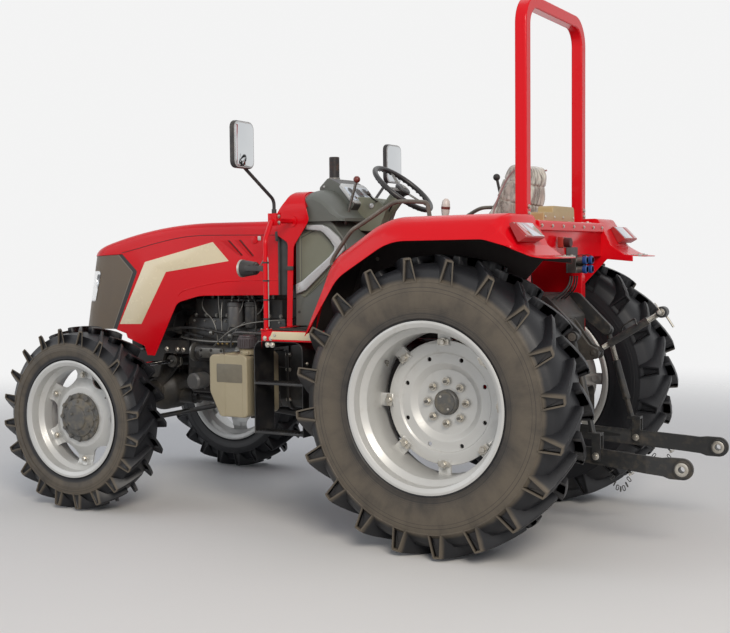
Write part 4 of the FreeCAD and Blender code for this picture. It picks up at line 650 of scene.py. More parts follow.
finished("engine", "chassis", "drive_black", engine_black, edge=0.003)
fittings = bmesh.new()
for i in range(4):
    x = 1360 + i * 145
    pipe(fittings, [at(1575 + i * 34, 235, 905), at(1575 + i * 34, 240, 1000 + i * 12), at(x, 236, 1090 + i * 8),
                    at(x, 205, 1195), at(x, 140, 1215), at(x, 120, 1190)], 0.0035, 1)
    turned(fittings, [(0, 0), (0.012, 0), (0.012, 0.03), (0.007, 0.034), (0.007, 0.06), (0, 0.06)],
           at(x, 122, 1165), (0, -0.1, 1), 12, 1)
    turned(fittings, [(0, 0), (0.009, 0), (0.009, 0.022), (0, 0.022)], at(1575 + i * 34, 235, 902), (0, 0, 1), 12, 4)
for x in (1440, 1560):
    turned(fittings, [(0, 0), (0.03, 0), (0.044, 0.006), (0.0455, 0.016), (0.0455, 0.116), (0.043, 0.124),
                      (0.0475, 0.127), (0.0475, 0.145), (0.0, 0.146)], at(x, 215, 1006), (0, 0, 1), 32,
           3 if x == 1560 else 2)
    for dx in (-24, 24):
        turned(fittings, [(0, 0), (0.008, 0), (0.008, 0.018), (0, 0.018)], at(x + dx, 215, 1150), (0, 0, 1), 6, 1)
pipe(fittings, [at(1464, 215, 1176), at(1464, 230, 1200), at(1500, 240, 1205), at(1536, 230, 1200),
                at(1536, 215, 1176)], 0.006, 1)
pipe(fittings, [at(1416, 215, 1176), at(1410, 240, 1190), at(1380, 262, 1120), at(1385, 268, 960), at(1430, 250, 895),
                at(1500, 250, 862)], 0.0065, 2)
turned(fittings, [(0, 0), (0.046, 0), (0.048, 0.008), (0.048, 0.11), (0.038, 0.122), (0, 0.122)],
       at(1820, 176, 690), (0, 1, 0), 32, 3)
turned(fittings, [(0, 0), (0.056, 0), (0.056, 0.01), (0.04, 0.016), (0, 0.016)], at(1845, 235, 860), (-1, 0, 0), 28, 1)
turned(fittings, [(0, 0), (0.055, 0), (0.055, 0.03), (0.03, 0.045), (0.03, 0.075), (0, 0.078)],
       at(1520, 235, 860), (-1, 0, 0), 28, 1)
plate(fittings, [at(1600, 282, 832), at(1770, 282, 832), at(1770, 282, 888), at(1600, 282, 888)], (0, 0.01, 0),
      0.008, 0.002, 1)
for x in (1612, 1685, 1758):
    bolt(fittings, at(x, 292, 843), (0, 1, 0), 0.007, 0)
    bolt(fittings, at(x, 292, 877), (0, 1, 0), 0.007, 0)
pipe(fittings, [at(1700, 175, 1040), at(1702, 190, 1100), at(1704, 186, 1230)], 0.005, 1)
turned(fittings, [(0, 0), (0.016, 0), (0.018, 0.02), (0.01, 0.03), (0, 0.03)], at(1704, 186, 1226), (0, 0, 1), 16, 4)
turned(fittings, [(0, 0), (0.034, 0), (0.036, 0.012), (0.028, 0.022), (0, 0.024)], at(1400, 0, 1248), (0, 0, 1), 24, 2)
for x in (1330, 1450, 1570, 1690, 1810, 1860):
    turned(fittings, [(0, 0), (0.012, 0), (0.012, 0.008), (0.007, 0.01), (0.007, 0.016), (0, 0.016)],
           at(x, 0, 1249), (0, 0, 1), 12, 1)
for x in range(1290, 1900, 76):
    bolt(fittings, at(x, 151, 1072), (0, 1, 0), 0.009, 1)
    bolt(fittings, at(x, 168, 1038), (0, 1, 0), 0.006, 1)
    bolt(fittings, at(x, 176, 640), (0, 1, 0), 0.007, 1)
    bolt(fittings, at(x, -176, 640), (0, -1, 0), 0.007, 1)
for sign in (1, -1):
    for z in (680, 760, 850, 940, 1020):
        bolt(fittings, at(1961, sign * 128, z), (1, 0, 0), 0.008, 1)
for x in (1330, 1480, 1630, 1780):
    turned(fittings, [(0, 0), (0.024, 0), (0.022, 0.006), (0.014, 0.009), (0, 0.009)],
           at(x, 181, 850), (0, 1, -0.08), 24, 1)
pipe(fittings, [at(1885, 60, 1150), at(1900, 70, 1260), at(1990, 110, 1330), at(2120, 120, 1375), at(2224, 120, 1398)],
     0.024, 2)
pipe(fittings, [at(1890, -60, 700), at(1990, -150, 690), at(2120, -180, 800), at(2228, -180, 930)], 0.024, 2)
pipe(fittings, [at(1200, 190, 985), at(1320, 232, 980), at(1500, 262, 960), at(1680, 258, 985), at(1900, 215, 1005),
                at(2100, 250, 980), at(2228, 240, 940)], 0.009, 2)
pipe(fittings, [at(1210, 205, 930), at(1400, 240, 935), at(1640, 300, 925), at(1880, 232, 930), at(1980, 190, 940)],
     0.006, 1)
pipe(fittings, [at(1536, 300, 900), at(1470, 380, 965), at(1423, 430, 996), at(1335, 450, 1000), at(1260, 440, 996),
                at(1150, 400, 985), at(1090, 360, 1000)], 0.0055, 3)
pipe(fittings, [at(1660, 296, 900), at(1600, 330, 940), at(1500, 330, 1010), at(1380, 300, 1050), at(1200, 250, 1060)],
     0.004, 1)
for x, y, z in ((1440, 235, 885), (1700, 262, 975), (1330, 236, 945), (1560, 268, 962)):
    turned(fittings, [(0, -0.01), (0.014, -0.01), (0.015, 0), (0.014, 0.01), (0, 0.01)], at(x, y, z), (1, 0.1, 0), 16, 1)
piece("engine_fittings", fittings, "chassis", "steel_rod", engine_black, bare_metal, hose_black, filter_white, brass)

# Radiator: a black core of fine upright fins behind the grille, with pressed tanks and side plates.

def core_coat(term, place):
    fins = (place.part("Z") * 900).maths("SINE").rise(-0.4, 0.6)
    tubes = (place.part("Y") * 420).maths("SINE").rise(0.2, 0.8)
    return {"Base Color": (fins * tubes).blend((0.006, 0.006, 0.006), (0.05, 0.05, 0.052)),
            "Roughness": place.noise(30) * 0.2 + 0.5, "Bump": (fins * tubes, 0.5, 0.002)}


core_black = finish("radiator_core", core_coat, Metallic=0.4)
finished("radiator", "chassis", "drive_black", core_black, casting, edge=0.002,
         zones=[lambda c: c.x < 1.385 or c.x > 1.472 or c.z > 1.392 or c.z < 0.872 or abs(c.y) > 0.254])

# Front axle and steering: drop housings on kingpins, a track rod behind the beam, and a
# two-way cylinder whose bright rod pushes both steering arms through sealed ball joints.

def plated_rod(term, place):
    haze = place.noise(40, 3)
    return {"Base Color": haze.blend((0.82, 0.83, 0.85), (0.6, 0.6, 0.6)), "Roughness": haze * 0.15 + 0.07}


chrome = finish("plated_steel", plated_rod, Metallic=1)
for side in ("left", "right"):
    finished("knuckle_" + side, "knuckle_" + side, "drive_black", casting, edge=0.003)
finished("tie_rod", "tie_rod", "drive_black", engine_black, edge=0.001)
finished("cylinder_rod", "cylinder_rod", "steel_rod", chrome, engine_black, edge=0.001,
         zones=[lambda c: abs(c.y) > 0.476])
finished("drive_shaft", "chassis", "drive_black", engine_black, edge=0.002)
for side, sign in (("left", 1), ("right", -1)):
    joints = bmesh.new()
    for i in range(6):
        turn = math.tau * i / 6
        spot = at(2240 + math.sin(turn) * 48, sign * 568 + math.cos(turn) * 48, 730)
        bolt(joints, spot, (0, 0, 1), 0.0095, 1)
        spot = at(2240 + math.sin(turn) * 48, sign * 568 + math.cos(turn) * 48, 432)
        bolt(joints, spot, (0, 0, -1), 0.0095, 1)
    turned(joints, [(0, 0), (0.012, 0), (0.009, 0.006), (0.004, 0.008), (0.005, 0.014), (0, 0.016)],
           at(2240, sign * 568, 730), (0, 0, 1), 14, 1)
    for x, z in ((2196, 690), (2284, 690), (2196, 400), (2284, 400)):
        bolt(joints, at(x, sign * 668, z - (40 if z > 500 else -60)), (0, -sign, 0), 0.009, 1)
    piece("kingpin_fixings_" + side, joints, "knuckle_" + side, "steel_rod", casting, zinc)
boots = bmesh.new()
for sign in (1, -1):
    middle = at(2070, sign * 568, 0)
    for z, way in ((808, 1), (772, -1)):
        turned(boots, [(0, 0), (0.02, 0), (0.018, 0.004), (0.012, 0.006), (0.012, 0.014), (0, 0.016)],
               middle + Vector((0, 0, z / 1000)), (0, 0, way), 20, 1 if way > 0 else 0)
    turned(boots, [(0.0145, 0), (0.024, 0.002), (0.026, 0.008), (0.022, 0.014), (0.0145, 0.015)],
           at(2070, sign * 478, 790), (0, -sign, 0), 20, 0)
piece("cylinder_rod_ends", boots, "cylinder_rod", "steel_rod", hose_black, zinc)
ends = bmesh.new()
for sign in (1, -1):
    middle = at(2070, sign * 568, 444)
    turned(ends, [(0, 0), (0.02, 0), (0.022, -0.008), (0.015, -0.016), (0, -0.018)], middle, (0, 0, 1), 20, 0)
    for y in (500, 470):
        turned(ends, [(0.0155, 0), (0.024, 0), (0.024, 0.012), (0.0155, 0.012)], at(2070, sign * y, 470),
               (0, sign, 0), 6, 1)
piece("tie_rod_ends", ends, "tie_rod", "steel_rod", hose_black, zinc)
lines = bmesh.new()
for sign in (1, -1):
    turned(lines, [(0, 0), (0.012, 0), (0.012, 0.018), (0.009, 0.02), (0.009, 0.034), (0, 0.034)],
           at(2070, sign * 140, 822), (0, 0, 1), 6, 1)
    pipe(lines, [at(2070, sign * 140, 850), at(2070, sign * 138, 905), at(2010, sign * 120, 950),
                 at(1985, sign * 165, 985), at(1900, sign * 212, 960), at(1780, sign * 232, 945)], 0.008)
    turned(lines, [(0.0344, 0), (0.041, 0.002), (0.041, 0.02), (0.0344, 0.022)], at(2070, sign * 120, 790),
           (0, sign, 0), 24, 1)
piece("steering_pipes", lines, "chassis", "steel_rod", hose_black, zinc)


# Rear linkage: forged and plate steel links in worn black paint, on pins with spring clips.
# The top link is a turnbuckle with a folding handle; check chains hang at the lower links.

def link_paint(term, place):
    wear = (place.noise(26, 6, 0.7) * 0.7 + place.noise(5, 3) * 0.4).rise(0.5, 0.8)
    return {"Base Color": wear.blend((0.022, 0.023, 0.024), (0.075, 0.063, 0.048)),
            "Roughness": wear * 0.3 + 0.38, "Bump": (place.noise(150, 4, 0.6), 0.25, 0.001)}


link_black = finish("link_black", link_paint)
for node, body in (("rockshaft", "rockshaft"), ("lower_link_left", "lower_link_left"),
                   ("lower_link_right", "lower_link_right"), ("lift_rod_left", "lift_rod_left"),
                   ("lift_rod_right", "lift_rod_right"), ("top_link", "top_link"), ("hitch_frame", "chassis")):
    finished(node, body, "drive_black", link_black, edge=0.0015)
for side, sign in (("left", 1), ("right", -1)):
    link = bmesh.new()
    eye, heel = at(-1055, sign * 350, 425), at(-185, sign * 275, 480)
    for spot, radius, half in ((eye, 0.032, 0.0235), (heel, 0.027, 0.0215)):
        for way in (1, -1):
            turned(link, [(0.0155, 0), (radius, 0), (radius, 0.001), (radius * 0.8, 0.0035), (0.0155, 0.002)],
                   spot + Vector((0, way * (half - 0.0015), 0)), (0, way, 0), 28, 1)
    for x, y in ((-940, 340), (-900, 337), (-520, 304), (-300, 285)):
        bolt(link, at(x, sign * (y + 8), 425 + (x + 1055) * 0.062), (0, sign, 0), 0.012)
    stay_way = (at(-560, sign * 311, 457) - at(-205, sign * 428, 480)).normalized()
    turned(link, [(0, 0), (0.015, 0.004), (0.0165, 0.012), (0.0165, 0.13), (0.015, 0.138), (0, 0.142)],
           at(-300, sign * 397, 474), stay_way, 6)
    for step in range(14):
        turned(link, [(0.0098, 0), (0.0114, 0.0025), (0.0098, 0.005)],
               at(-300, sign * 397, 474) + stay_way * (0.145 + step * 0.006), stay_way, 16, 1)
    # the chain's links, each an oval of round bar
    for step in range(9):
        ring = bmesh.new()
        bmesh.ops.create_circle(ring, cap_ends=False, segments=8, radius=0.0022)
        bmesh.ops.transform(ring, matrix=Matrix.Translation((0.006, 0, 0)) @ Matrix.Rotation(math.pi / 2, 4, "X"),
                            verts=ring.verts[:])
        bmesh.ops.spin(ring, geom=ring.verts[:] + ring.edges[:], cent=(0, 0, 0), axis=(0, 0, 1), angle=math.tau,
                       steps=16, use_merge=True)
        bmesh.ops.remove_doubles(ring, verts=ring.verts[:], dist=0.00001)
        bmesh.ops.recalc_face_normals(ring, faces=ring.faces[:])
        for vert in ring.verts:
            vert.co.x += math.copysign(0.006, vert.co.x)
        lean = math.radians(-55 + step * 13.7)
        drop = Vector((-0.808 - 0.8425 + 0.004 * step, sign * 0.345, 0.387)) + Vector((
            0.03 - 0.03 * math.cos(step / 8 * math.pi), 0, -0.082 * math.sin(step / 8 * math.pi)))
        ring.transform(Matrix.Translation(drop) @ Matrix.Rotation(-lean - math.pi / 2, 4, "Y")
                       @ Matrix.Rotation(math.pi / 2 * (step % 2), 4, "X"))
        add(link, ring)
    turned(link, [(0, 0), (0.006, 0), (0.006, 0.05), (0, 0.051)], at(-815, sign * 325, 384), (0, sign, 0), 12, 1)
    piece("link_fittings_" + side, link, "lower_link_" + side, "steel_rod", link_black, zinc)
    rod_parts = bmesh.new()
    top, foot = at(-498, sign * 266, 1014), at(-640, sign * 321, 452)
    way = (foot - top).normalized()
    for start, length, radius in ((0.165, 0.012, 0.0225), (0.36, 0.014, 0.0225)):
        turned(rod_parts, [(0.012, 0), (radius, 0), (radius, length), (0.012, length)], top + way * start, way, 6)
    for step in range(16):
        turned(rod_parts, [(0.0128, 0), (0.0145, 0.002), (0.0128, 0.004)], top + way * (0.085 + step * 0.005), way, 18, 1)
    for y in (-0.026, 0.026):
        turned(rod_parts, [(0, 0), (0.018, 0), (0.018, 0.004), (0.009, 0.006), (0.009, 0.016), (0, 0.017)],
               foot + Vector((0, y, 0)), (0, math.copysign(1, y), 0), 18, 1)
    turned(rod_parts, [(0, 0), (0.02, 0), (0.02, 0.004), (0.0, 0.005)], top + Vector((0, sign * 0.0145, 0)),
           (0, sign, 0), 20, 1)
    piece("lift_rod_fittings_" + side, rod_parts, "lift_rod_" + side, "steel_rod", link_black, zinc)
top_fittings = bmesh.new()
start, end = at(-520, 0, 919), at(-860, 0, 1128)
way = (end - start).normalized()
length = (end - start).length
for first, count in ((0.12, 6), (0.79, 9)):
    for step in range(count):
        turned(top_fittings, [(0.0118, 0), (0.0138, 0.0025), (0.0118, 0.005)],
               start + way * (length * first + step * 0.0062), way, 18, 1)
for share in (0.215, 0.765):
    turned(top_fittings, [(0.01, 0), (0.0225, 0), (0.0225, 0.012), (0.01, 0.012)], start + way * length * share, way, 6)
pipe(top_fittings, [start + way * 0.14 + Vector((0, -0.024, 0.01)), start + way * 0.15 + Vector((0, -0.024, 0.028)),
                    start + way * 0.16 + Vector((0, 0, 0.05)), start + way * 0.24 + Vector((0, 0, 0.052)),
                    start + way * 0.25 + Vector((0, 0.024, 0.028)), start + way * 0.26 + Vector((0, 0.024, 0.01))], 0.0045)
for spot in (start, end):
    for sign in (1, -1):
        turned(top_fittings, [(0.013, 0), (0.022, 0), (0.022, 0.002), (0.013, 0.003)],
               spot + Vector((0, sign * 0.0195, 0)), (0, sign, 0), 24, 1)
turned(top_fittings, [(0, -0.045), (0.0118, -0.044), (0.0118, 0.06), (0.007, 0.066), (0, 0.066)], end, (0, 1, 0), 20, 1)
pipe(top_fittings, [end + Vector((0, -0.036, -0.01)), end + Vector((-0.02, -0.036, -0.035)),
                    end + Vector((-0.045, -0.036, -0.075))], 0.0055, 1)
pipe(top_fittings, [end + Vector((0, 0.036, 0)), end + Vector((0.012, 0.036, 0.03)),
                    end + Vector((0.03, 0.03, 0.045))], 0.0025, 1)
piece("top_link_fittings", top_fittings, "top_link", "steel_rod", link_black, zinc)

# Floor and sills: folded plate, red at the sides, with a ribbed black mat between them.
# The left sill carries a bare cream plate on two screws; steps of bent black plate hang below.

def red_coat(term, place):
    dust = (place.noise(5, 6, 0.7) * 0.6 + place.noise(1.3, 3) * 0.5).rise(0.52, 0.9)
    fine = place.noise(90, 2)
    return {"Base Color": (dust * 0.1).blend((0.70, 0.004, 0.011), (0.47, 0.12, 0.075)),
            "Roughness": dust * 0.25 + 0.2, "Bump": (fine, 0.03, 0.0005)}


def cream_vinyl(term, place):
    fade = place.noise(3, 4)
    return {"Base Color": fade.blend((0.66, 0.56, 0.34), (0.76, 0.67, 0.45)), "Roughness": fade * 0.2 + 0.2}


red = finish("red_paint", red_coat, Coat_Weight=0.06, Coat_Roughness=0.08, Specular_IOR_Level=0.2)
cream = finish("cream_sheet", cream_vinyl, Coat_Weight=0.3)
mat_rubber = finish("floor_mat", lambda term, place: {
    "Base Color": place.noise(12, 5).rise(0.4, 0.8).blend((0.02, 0.02, 0.02), (0.075, 0.064, 0.05)),
    "Roughness": place.noise(40, 3) * 0.2 + 0.6, "Bump": (place.noise(200, 2), 0.2, 0.001)})
black_paint = finish("black_paint", lambda term, place: {
    "Base Color": place.noise(12, 5, 0.6).rise(0.45, 0.8).blend((0.013, 0.013, 0.014), (0.05, 0.045, 0.038)),
    "Roughness": place.noise(30, 4) * 0.3 + 0.22, "Bump": (place.noise(160, 2), 0.08, 0.0006)}, Coat_Weight=0.2)

finished("platform", "chassis", "red_paint", red, edge=0.002)
finished("steps", "chassis", "black_paint", black_paint, edge=0.0025)
floor_parts = bmesh.new()
plate(floor_parts, [at(345, -455, 1030), at(1000, -455, 1030), at(1000, 455, 1030), at(345, 455, 1030)],
      (0, 0, 0.003), 0.02, 0.001)
for row in range(27):
    y = -442 + row * 34
    plate(floor_parts, [at(360, y - 6, 1032.5), at(690, y - 6, 1032.5), at(690, y + 6, 1032.5),
                        at(360, y + 6, 1032.5)], (0, 0, 0.004), 0, 0.0012)
for sign in (1, -1):
    plate(floor_parts, [at(735, sign * 468, 1030), at(1040, sign * 468, 1030), at(1040, sign * 625, 1030),
                        at(735, sign * 625, 1030)], (0, 0, 0.003), 0.02, 0.001)
    for row in range(9):
        x = 752 + row * 33
        plate(floor_parts, [at(x - 6, sign * 480, 1032.5), at(x + 6, sign * 480, 1032.5),
                            at(x + 6, sign * 612, 1032.5), at(x - 6, sign * 612, 1032.5)], (0, 0, 0.004), 0, 0.0012)
    plate(floor_parts, [at(1020, sign * 660, 985), at(1000, sign * 660, 1026), at(746, sign * 660, 1026),
                        at(746, sign * 660, 985)], (0, sign * 0.0025, 0), 0.004, 0.0006, 1)
    for x in (765, 985):
        bolt(floor_parts, at(x, sign * 662.5, 1006), (0, sign, 0), 0.006, 2)
    for x in (1010, 1048):
        bolt(floor_parts, at(x, sign * 660, 990), (0, sign, 0), 0.009, 2)
piece("floor_mat_and_plates", floor_parts, "chassis", "black_plastic", mat_rubber, cream, zinc)
treads = bmesh.new()
for sign in (1, -1):
    for z in (496, 756):
        for x in range(836, 1116, 20):
            plate(treads, [at(x, sign * 566, z - 0.5), at(x + 9, sign * 566, z - 0.5), at(x + 9, sign * 646, z - 0.5),
                           at(x, sign * 646, z - 0.5)], (0, 0, 0.005), 0, 0.0015)
    for x, z in ((819.5, 600), (819.5, 860), (1128.5, 600), (1128.5, 860)):
        for y in (500, 610):
            bolt(treads, at(x, sign * y, z), (-1 if x < 900 else 1, 0, 0), 0.008, 1)
    for x in (1015, 1045):
        bolt(treads, at(x, sign * 640, 955), (0, sign, 0), 0.011, 1)
piece("step_treads", treads, "chassis", "black_paint", black_paint, zinc)

# Fuel tank: blow-moulded beige plastic with wide round edges, on steel straps.
# A ribbed black cap screws onto its neck, and a bare smooth patch marks its outer face.

tank_skin = finish("tank_plastic", lambda term, place: {
    "Base Color": place.noise(5, 5, 0.6).blend((0.31, 0.265, 0.17), (0.41, 0.355, 0.24)),
    "Roughness": place.noise(30, 3) * 0.2 + 0.38, "Bump": (place.noise(240, 3), 0.12, 0.0008)})
patch_skin = finish("tank_patch", lambda term, place: {
    "Base Color": place.noise(40, 4).blend((0.13, 0.115, 0.085), (0.19, 0.17, 0.125)),
    "Roughness": place.noise(30, 3) * 0.2 + 0.3})
cap_plastic = finish("cap_plastic", lambda term, place: {
    "Base Color": place.noise(12, 4).blend((0.035, 0.03, 0.032), (0.07, 0.055, 0.058)),
    "Roughness": place.noise(40, 3) * 0.2 + 0.36, "Bump": (place.noise(300, 2), 0.1, 0.0005)})
finished("fuel_tank", "chassis", "tank_plastic", tank_skin, cap_plastic, black_paint, edge=0.007,
         zones=[lambda c: c.z > 0.921, lambda c: c.y < 0.32 or (0.8905 < c.z < 0.9 and c.y < 0.505)])
tank_parts = bmesh.new()
for i in range(24):
    turn = math.tau * i / 24
    turned(tank_parts, [(0, 0), (0.0045, 0.002), (0.0045, 0.044), (0, 0.048)],
           at(1240 + math.sin(turn) * 50, 550 + math.cos(turn) * 50, 930), (0, 0, 1), 8)
turned(tank_parts, [(0, 0), (0.042, 0), (0.046, 0.003), (0.044, 0.008), (0.012, 0.012), (0, 0.012)],
       at(1240, 550, 984), (0, 0, 1), 36)
plate(tank_parts, [at(1215, 636, 742), at(1384, 636, 742), at(1384, 636, 842), at(1215, 636, 842)],
      (0, 0.0012, 0), 0.006, 0.0004, 1)
for x in (1230, 1345):
    plate(tank_parts, [at(x - 15, 637, 893), at(x + 15, 637, 893), at(x + 15, 637, 560), at(x - 15, 637, 560)],
          (0, -0.0005, 0), 0, 0, 2)
turned(tank_parts, [(0, 0), (0.02, 0), (0.02, 0.012), (0.012, 0.012), (0.012, 0.022), (0, 0.022)],
       at(1260, 480, 556), (0, 0, -1), 20)
piece("tank_cap_and_patch", tank_parts, "chassis", "black_plastic", cap_plastic, patch_skin, tank_skin)


# Driver's place: a pressed red cowl arch, and behind it a moulded olive grey console with a
# recessed panel and a cast grab handle on each side; a rubber strip seals the arch to the hood.

console_skin = finish("console_plastic", lambda term, place: {
    "Base Color": place.noise(5, 5, 0.6).blend((0.15, 0.16, 0.115), (0.235, 0.245, 0.185)),
    "Roughness": place.noise(30, 3) * 0.2 + 0.42, "Bump": (place.noise(420, 2), 0.15, 0.0006)})
console_dark = finish("console_dark", lambda term, place: {
    "Base Color": place.noise(6, 5, 0.6).blend((0.085, 0.093, 0.085), (0.135, 0.143, 0.122)),
    "Roughness": place.noise(30, 3) * 0.2 + 0.38, "Bump": (place.noise(420, 2), 0.15, 0.0006)})
dark_plastic = finish("dark_plastic", lambda term, place: {
    "Base Color": place.noise(14, 5, 0.6).rise(0.35, 0.8).blend((0.03, 0.028, 0.03), (0.075, 0.068, 0.06)),
    "Roughness": place.noise(40, 3) * 0.2 + 0.36, "Bump": (place.noise(420, 2), 0.15, 0.0005)}, Specular_IOR_Level=0.35)
silver_plastic = finish("silver_plastic", lambda term, place: {
    "Base Color": place.noise(20, 4).blend((0.42, 0.43, 0.43), (0.55, 0.56, 0.56)),
    "Roughness": place.noise(60, 3) * 0.15 + 0.3}, Metallic=0.35)
seal_rubber = finish("seal_rubber", lambda term, place: {
    "Base Color": place.noise(20, 4).blend((0.02, 0.021, 0.022), (0.06, 0.06, 0.058)),
    "Roughness": place.noise(60, 3) * 0.2 + 0.5})

finished("cowl", "chassis", "red_paint", red, edge=0.0025)
for vert in bpy.data.objects["finished_cowl"].data.vertices:
    if vert.co.z > 1.62:
        vert.co.x += 0.06 * min(1, (vert.co.z - 1.62) / 0.13)
finished("dash_console", "chassis", "console_plastic", console_dark, console_skin, edge=0.005,
         zones=[lambda c: 0.29 < abs(c.y) < 0.2965])
trim = bmesh.new()
for sign in (1, -1):
    plate(trim, [at(1158, sign * 312, 1204), at(1184, sign * 312, 1204), at(1184, sign * 312, 1562),
                 at(1160, sign * 312, 1562), at(1122, sign * 312, 1500), at(1126, sign * 312, 1204)],
          (0, sign * 0.006, 0), 0, 0.001, 1)
    pipe(trim, [at(1180, sign * 324, 1204), at(1178, sign * 326, 1330), at(1178, sign * 326, 1530),
                at(1180, sign * 322, 1592)], 0.0055, 1)
    # panel line round the recess
    edge_line = [(1052, 1172), (1052, 1518), (935, 1566), (818, 1440), (905, 1305)]
    for (x0, z0), (x1, z1) in zip(edge_line, edge_line[1:] + edge_line[:1]):
        pipe(trim, [at(x0, sign * 294.5, z0), at(x1, sign * 294.5, z1)], 0.0022, 3, 2)
    for x, z in ((1066, 1110), (1066, 1545), (760, 1420), (716, 1180), (716, 1060)):
        turned(trim, [(0, 0), (0.008, 0), (0.0065, 0.004), (0, 0.004)], at(x, sign * 299.5, z), (0, sign, 0), 16, 0)
    plate(trim, [at(x, sign * 344, z) for x, z in ((1118, 1340), (1072, 1340), (1072, 1362), (1118, 1362))],
          (0, sign * 0.006, 0), 0.003, 0.001, 0)
# smooth cover from the arch to the pod
part = bmesh.new()
rings = []
for y in [-322 + 644 * i / 14 for i in range(15)]:
    edge = (abs(y) / 322) ** 5
    rings.append([part.verts.new(at(x, y, z - 60 * edge * w)) for x, z, w in (
        (1094, 1604, 0), (1104, 1670, 0.3), (1096, 1735, 1), (1040, 1768, 1), (965, 1782, 1), (905, 1755, 1),
        (850, 1695, 0.8), (808, 1640, 0.3), (780, 1604, 0))])
for ring, other in zip(rings, rings[1:]):
    for i in range(len(ring) - 1):
        part.faces.new((ring[i], other[i], other[i + 1], ring[i + 1]))
for ring in (rings[0], rings[-1]):
    part.faces.new(ring)
bmesh.ops.holes_fill(part, edges=[e for e in part.edges if e.is_boundary], sides=0)
bmesh.ops.recalc_face_normals(part, faces=part.faces[:])
bmesh.ops.subdivide_edges(part, edges=[e for e in part.edges if e.calc_face_angle(0) < 1.2], cuts=2, smooth=0.7,
                          use_grid_fill=True)
bmesh.ops.smooth_vert(part, verts=[v for v in part.verts if v.co.z > 1.66], factor=0.5, use_axis_x=True,
                      use_axis_y=True, use_axis_z=True)
for face in part.faces:
    face.material_index = 3
add(trim, part)
piece("console_trim", trim, "chassis", "black_plastic", dark_plastic, seal_rubber, silver_plastic, console_dark, zinc)

# Instrument pod: a grey shell round a pale dial plate with five dials.
# Below it a split shroud hides the steering column; switches stand on its sides.

dial_white = finish("dial_white", lambda term, place: {
    "Base Color": place.noise(30, 3).blend((0.42, 0.5, 0.6), (0.55, 0.62, 0.7)),
    "Roughness": place.noise(60, 3) * 0.1 + 0.15}, Coat_Weight=0.6)
signal_red = finish("signal_red", lambda term, place: {
    "Base Color": place.noise(60, 3).blend((0.42, 0.03, 0.02), (0.26, 0.03, 0.02)),
    "Roughness": place.noise(60, 3) * 0.2 + 0.28})
finished("steering_column", "chassis", "console_plastic", dark_plastic, console_dark, console_skin, edge=0.004,
         zones=[lambda c: abs(c.y) > 0.1485, lambda c: abs(c.y) < 0.07 and c.x < 0.0576 and c.z < 1.742])
for vert in bpy.data.objects["finished_steering_column"].data.vertices:
    if vert.co.z > 1.6 and abs(vert.co.y) > 0.1:
        vert.co.y *= 0.9
        vert.co.x = min(vert.co.x, 0.09) + max(0, vert.co.x - 0.09) * 0.6
        vert.co.z = min(vert.co.z, 1.8125) + max(0, vert.co.z - 1.8125) * 0.5
pod = bmesh.new()
upper, lower = at(900, 0, 1813), at(804, 0, 1698)
down = (lower - upper).normalized()
face_way = Vector((down.z, 0, -down.x))
middle = (upper + lower) / 2 + face_way * 0.0008


def on_face(across, along, lift=0.0):
    """A point on the dial plate."""
    return middle + Vector((0, across, 0)) + down * along + face_way * lift


plate(pod, [on_face(a, b, -0.012) for a, b in ((-0.142, -0.078), (0.142, -0.078), (0.142, 0.07), (-0.142, 0.07))],
      face_way * 0.016, 0.03, 0.004, 1)
plate(pod, [on_face(a, b, 0.004) for a, b in ((-0.124, -0.05), (0.124, -0.05), (0.124, 0.05), (-0.124, 0.05))],
      face_way * 0.0012, 0.014, 0.0004, 2)
for across, along, size in ((0, -0.004, 0.04), (0.078, -0.018, 0.027), (-0.078, -0.018, 0.027), (0.078, 0.029, 0.014),
                            (-0.078, 0.029, 0.014)):
    spot = on_face(across, along, 0.0052)
    turned(pod, [(0, 0), (size, 0), (size, 0.002), (size - 0.002, 0.0026), (size - 0.0035, 0.001), (0, 0.001)],
           spot, face_way, 36, 1)
    turned(pod, [(0, 0.0012), (size - 0.004, 0.0012), (size - 0.004, 0.0018), (0, 0.0018)], spot, face_way, 36, 0)
    for tick in range(9):
        turn = math.radians(-120 + tick * 30)
        radial = Vector((0, math.sin(turn), 0)) - down * math.cos(turn)
        pipe(pod, [spot + face_way * 0.002 + radial * (size - 0.0065), spot + face_way * 0.002 + radial * (size - 0.012 * size / 0.04 - 0.002)],
             0.0006, 2, 2)
    radial = Vector((0, math.sin(-1.9), 0)) - down * math.cos(-1.9)
    pipe(pod, [spot + face_way * 0.0024, spot + face_way * 0.0024 + radial * (size - 0.008)], 0.0008, 3, 2)
for across in (-0.03, -0.01, 0.01, 0.03):
    turned(pod, [(0, 0), (0.0045, 0), (0.004, 0.003), (0, 0.0035)], on_face(across, 0.052, 0.004), face_way, 14, 3)
for sign in (1, -1):
    turned(pod, [(0, 0), (0.006, 0), (0.005, 0.003), (0, 0.0035)], at(905, sign * 150, 1700), (0, sign, 0), 16, 1)
    turned(pod, [(0, 0), (0.006, 0), (0.005, 0.003), (0, 0.0035)], at(990, sign * 150, 1800), (0, sign, 0), 16, 1)
turned(pod, [(0, 0), (0.014, 0), (0.014, 0.008), (0.009, 0.01), (0, 0.01)], at(735, 62, 1690), (0, 1, 0), 20, 1)
pipe(pod, [at(705, 60, 1712), at(700, 120, 1722), at(690, 172, 1745)], 0.005, 0)
turned(pod, [(0, 0), (0.009, 0.004), (0.0095, 0.03), (0, 0.036)], at(691, 166, 1742), (-0.1, 0.8, 0.4), 16, 0)
pipe(pod, [at(705, -60, 1712), at(700, -110, 1722), at(690, -150, 1740)], 0.005, 0)
turned(pod, [(0, 0), (0.009, 0.004), (0.0095, 0.03), (0, 0.036)], at(691, -146, 1738), (-0.1, -0.8, 0.4), 16, 3)
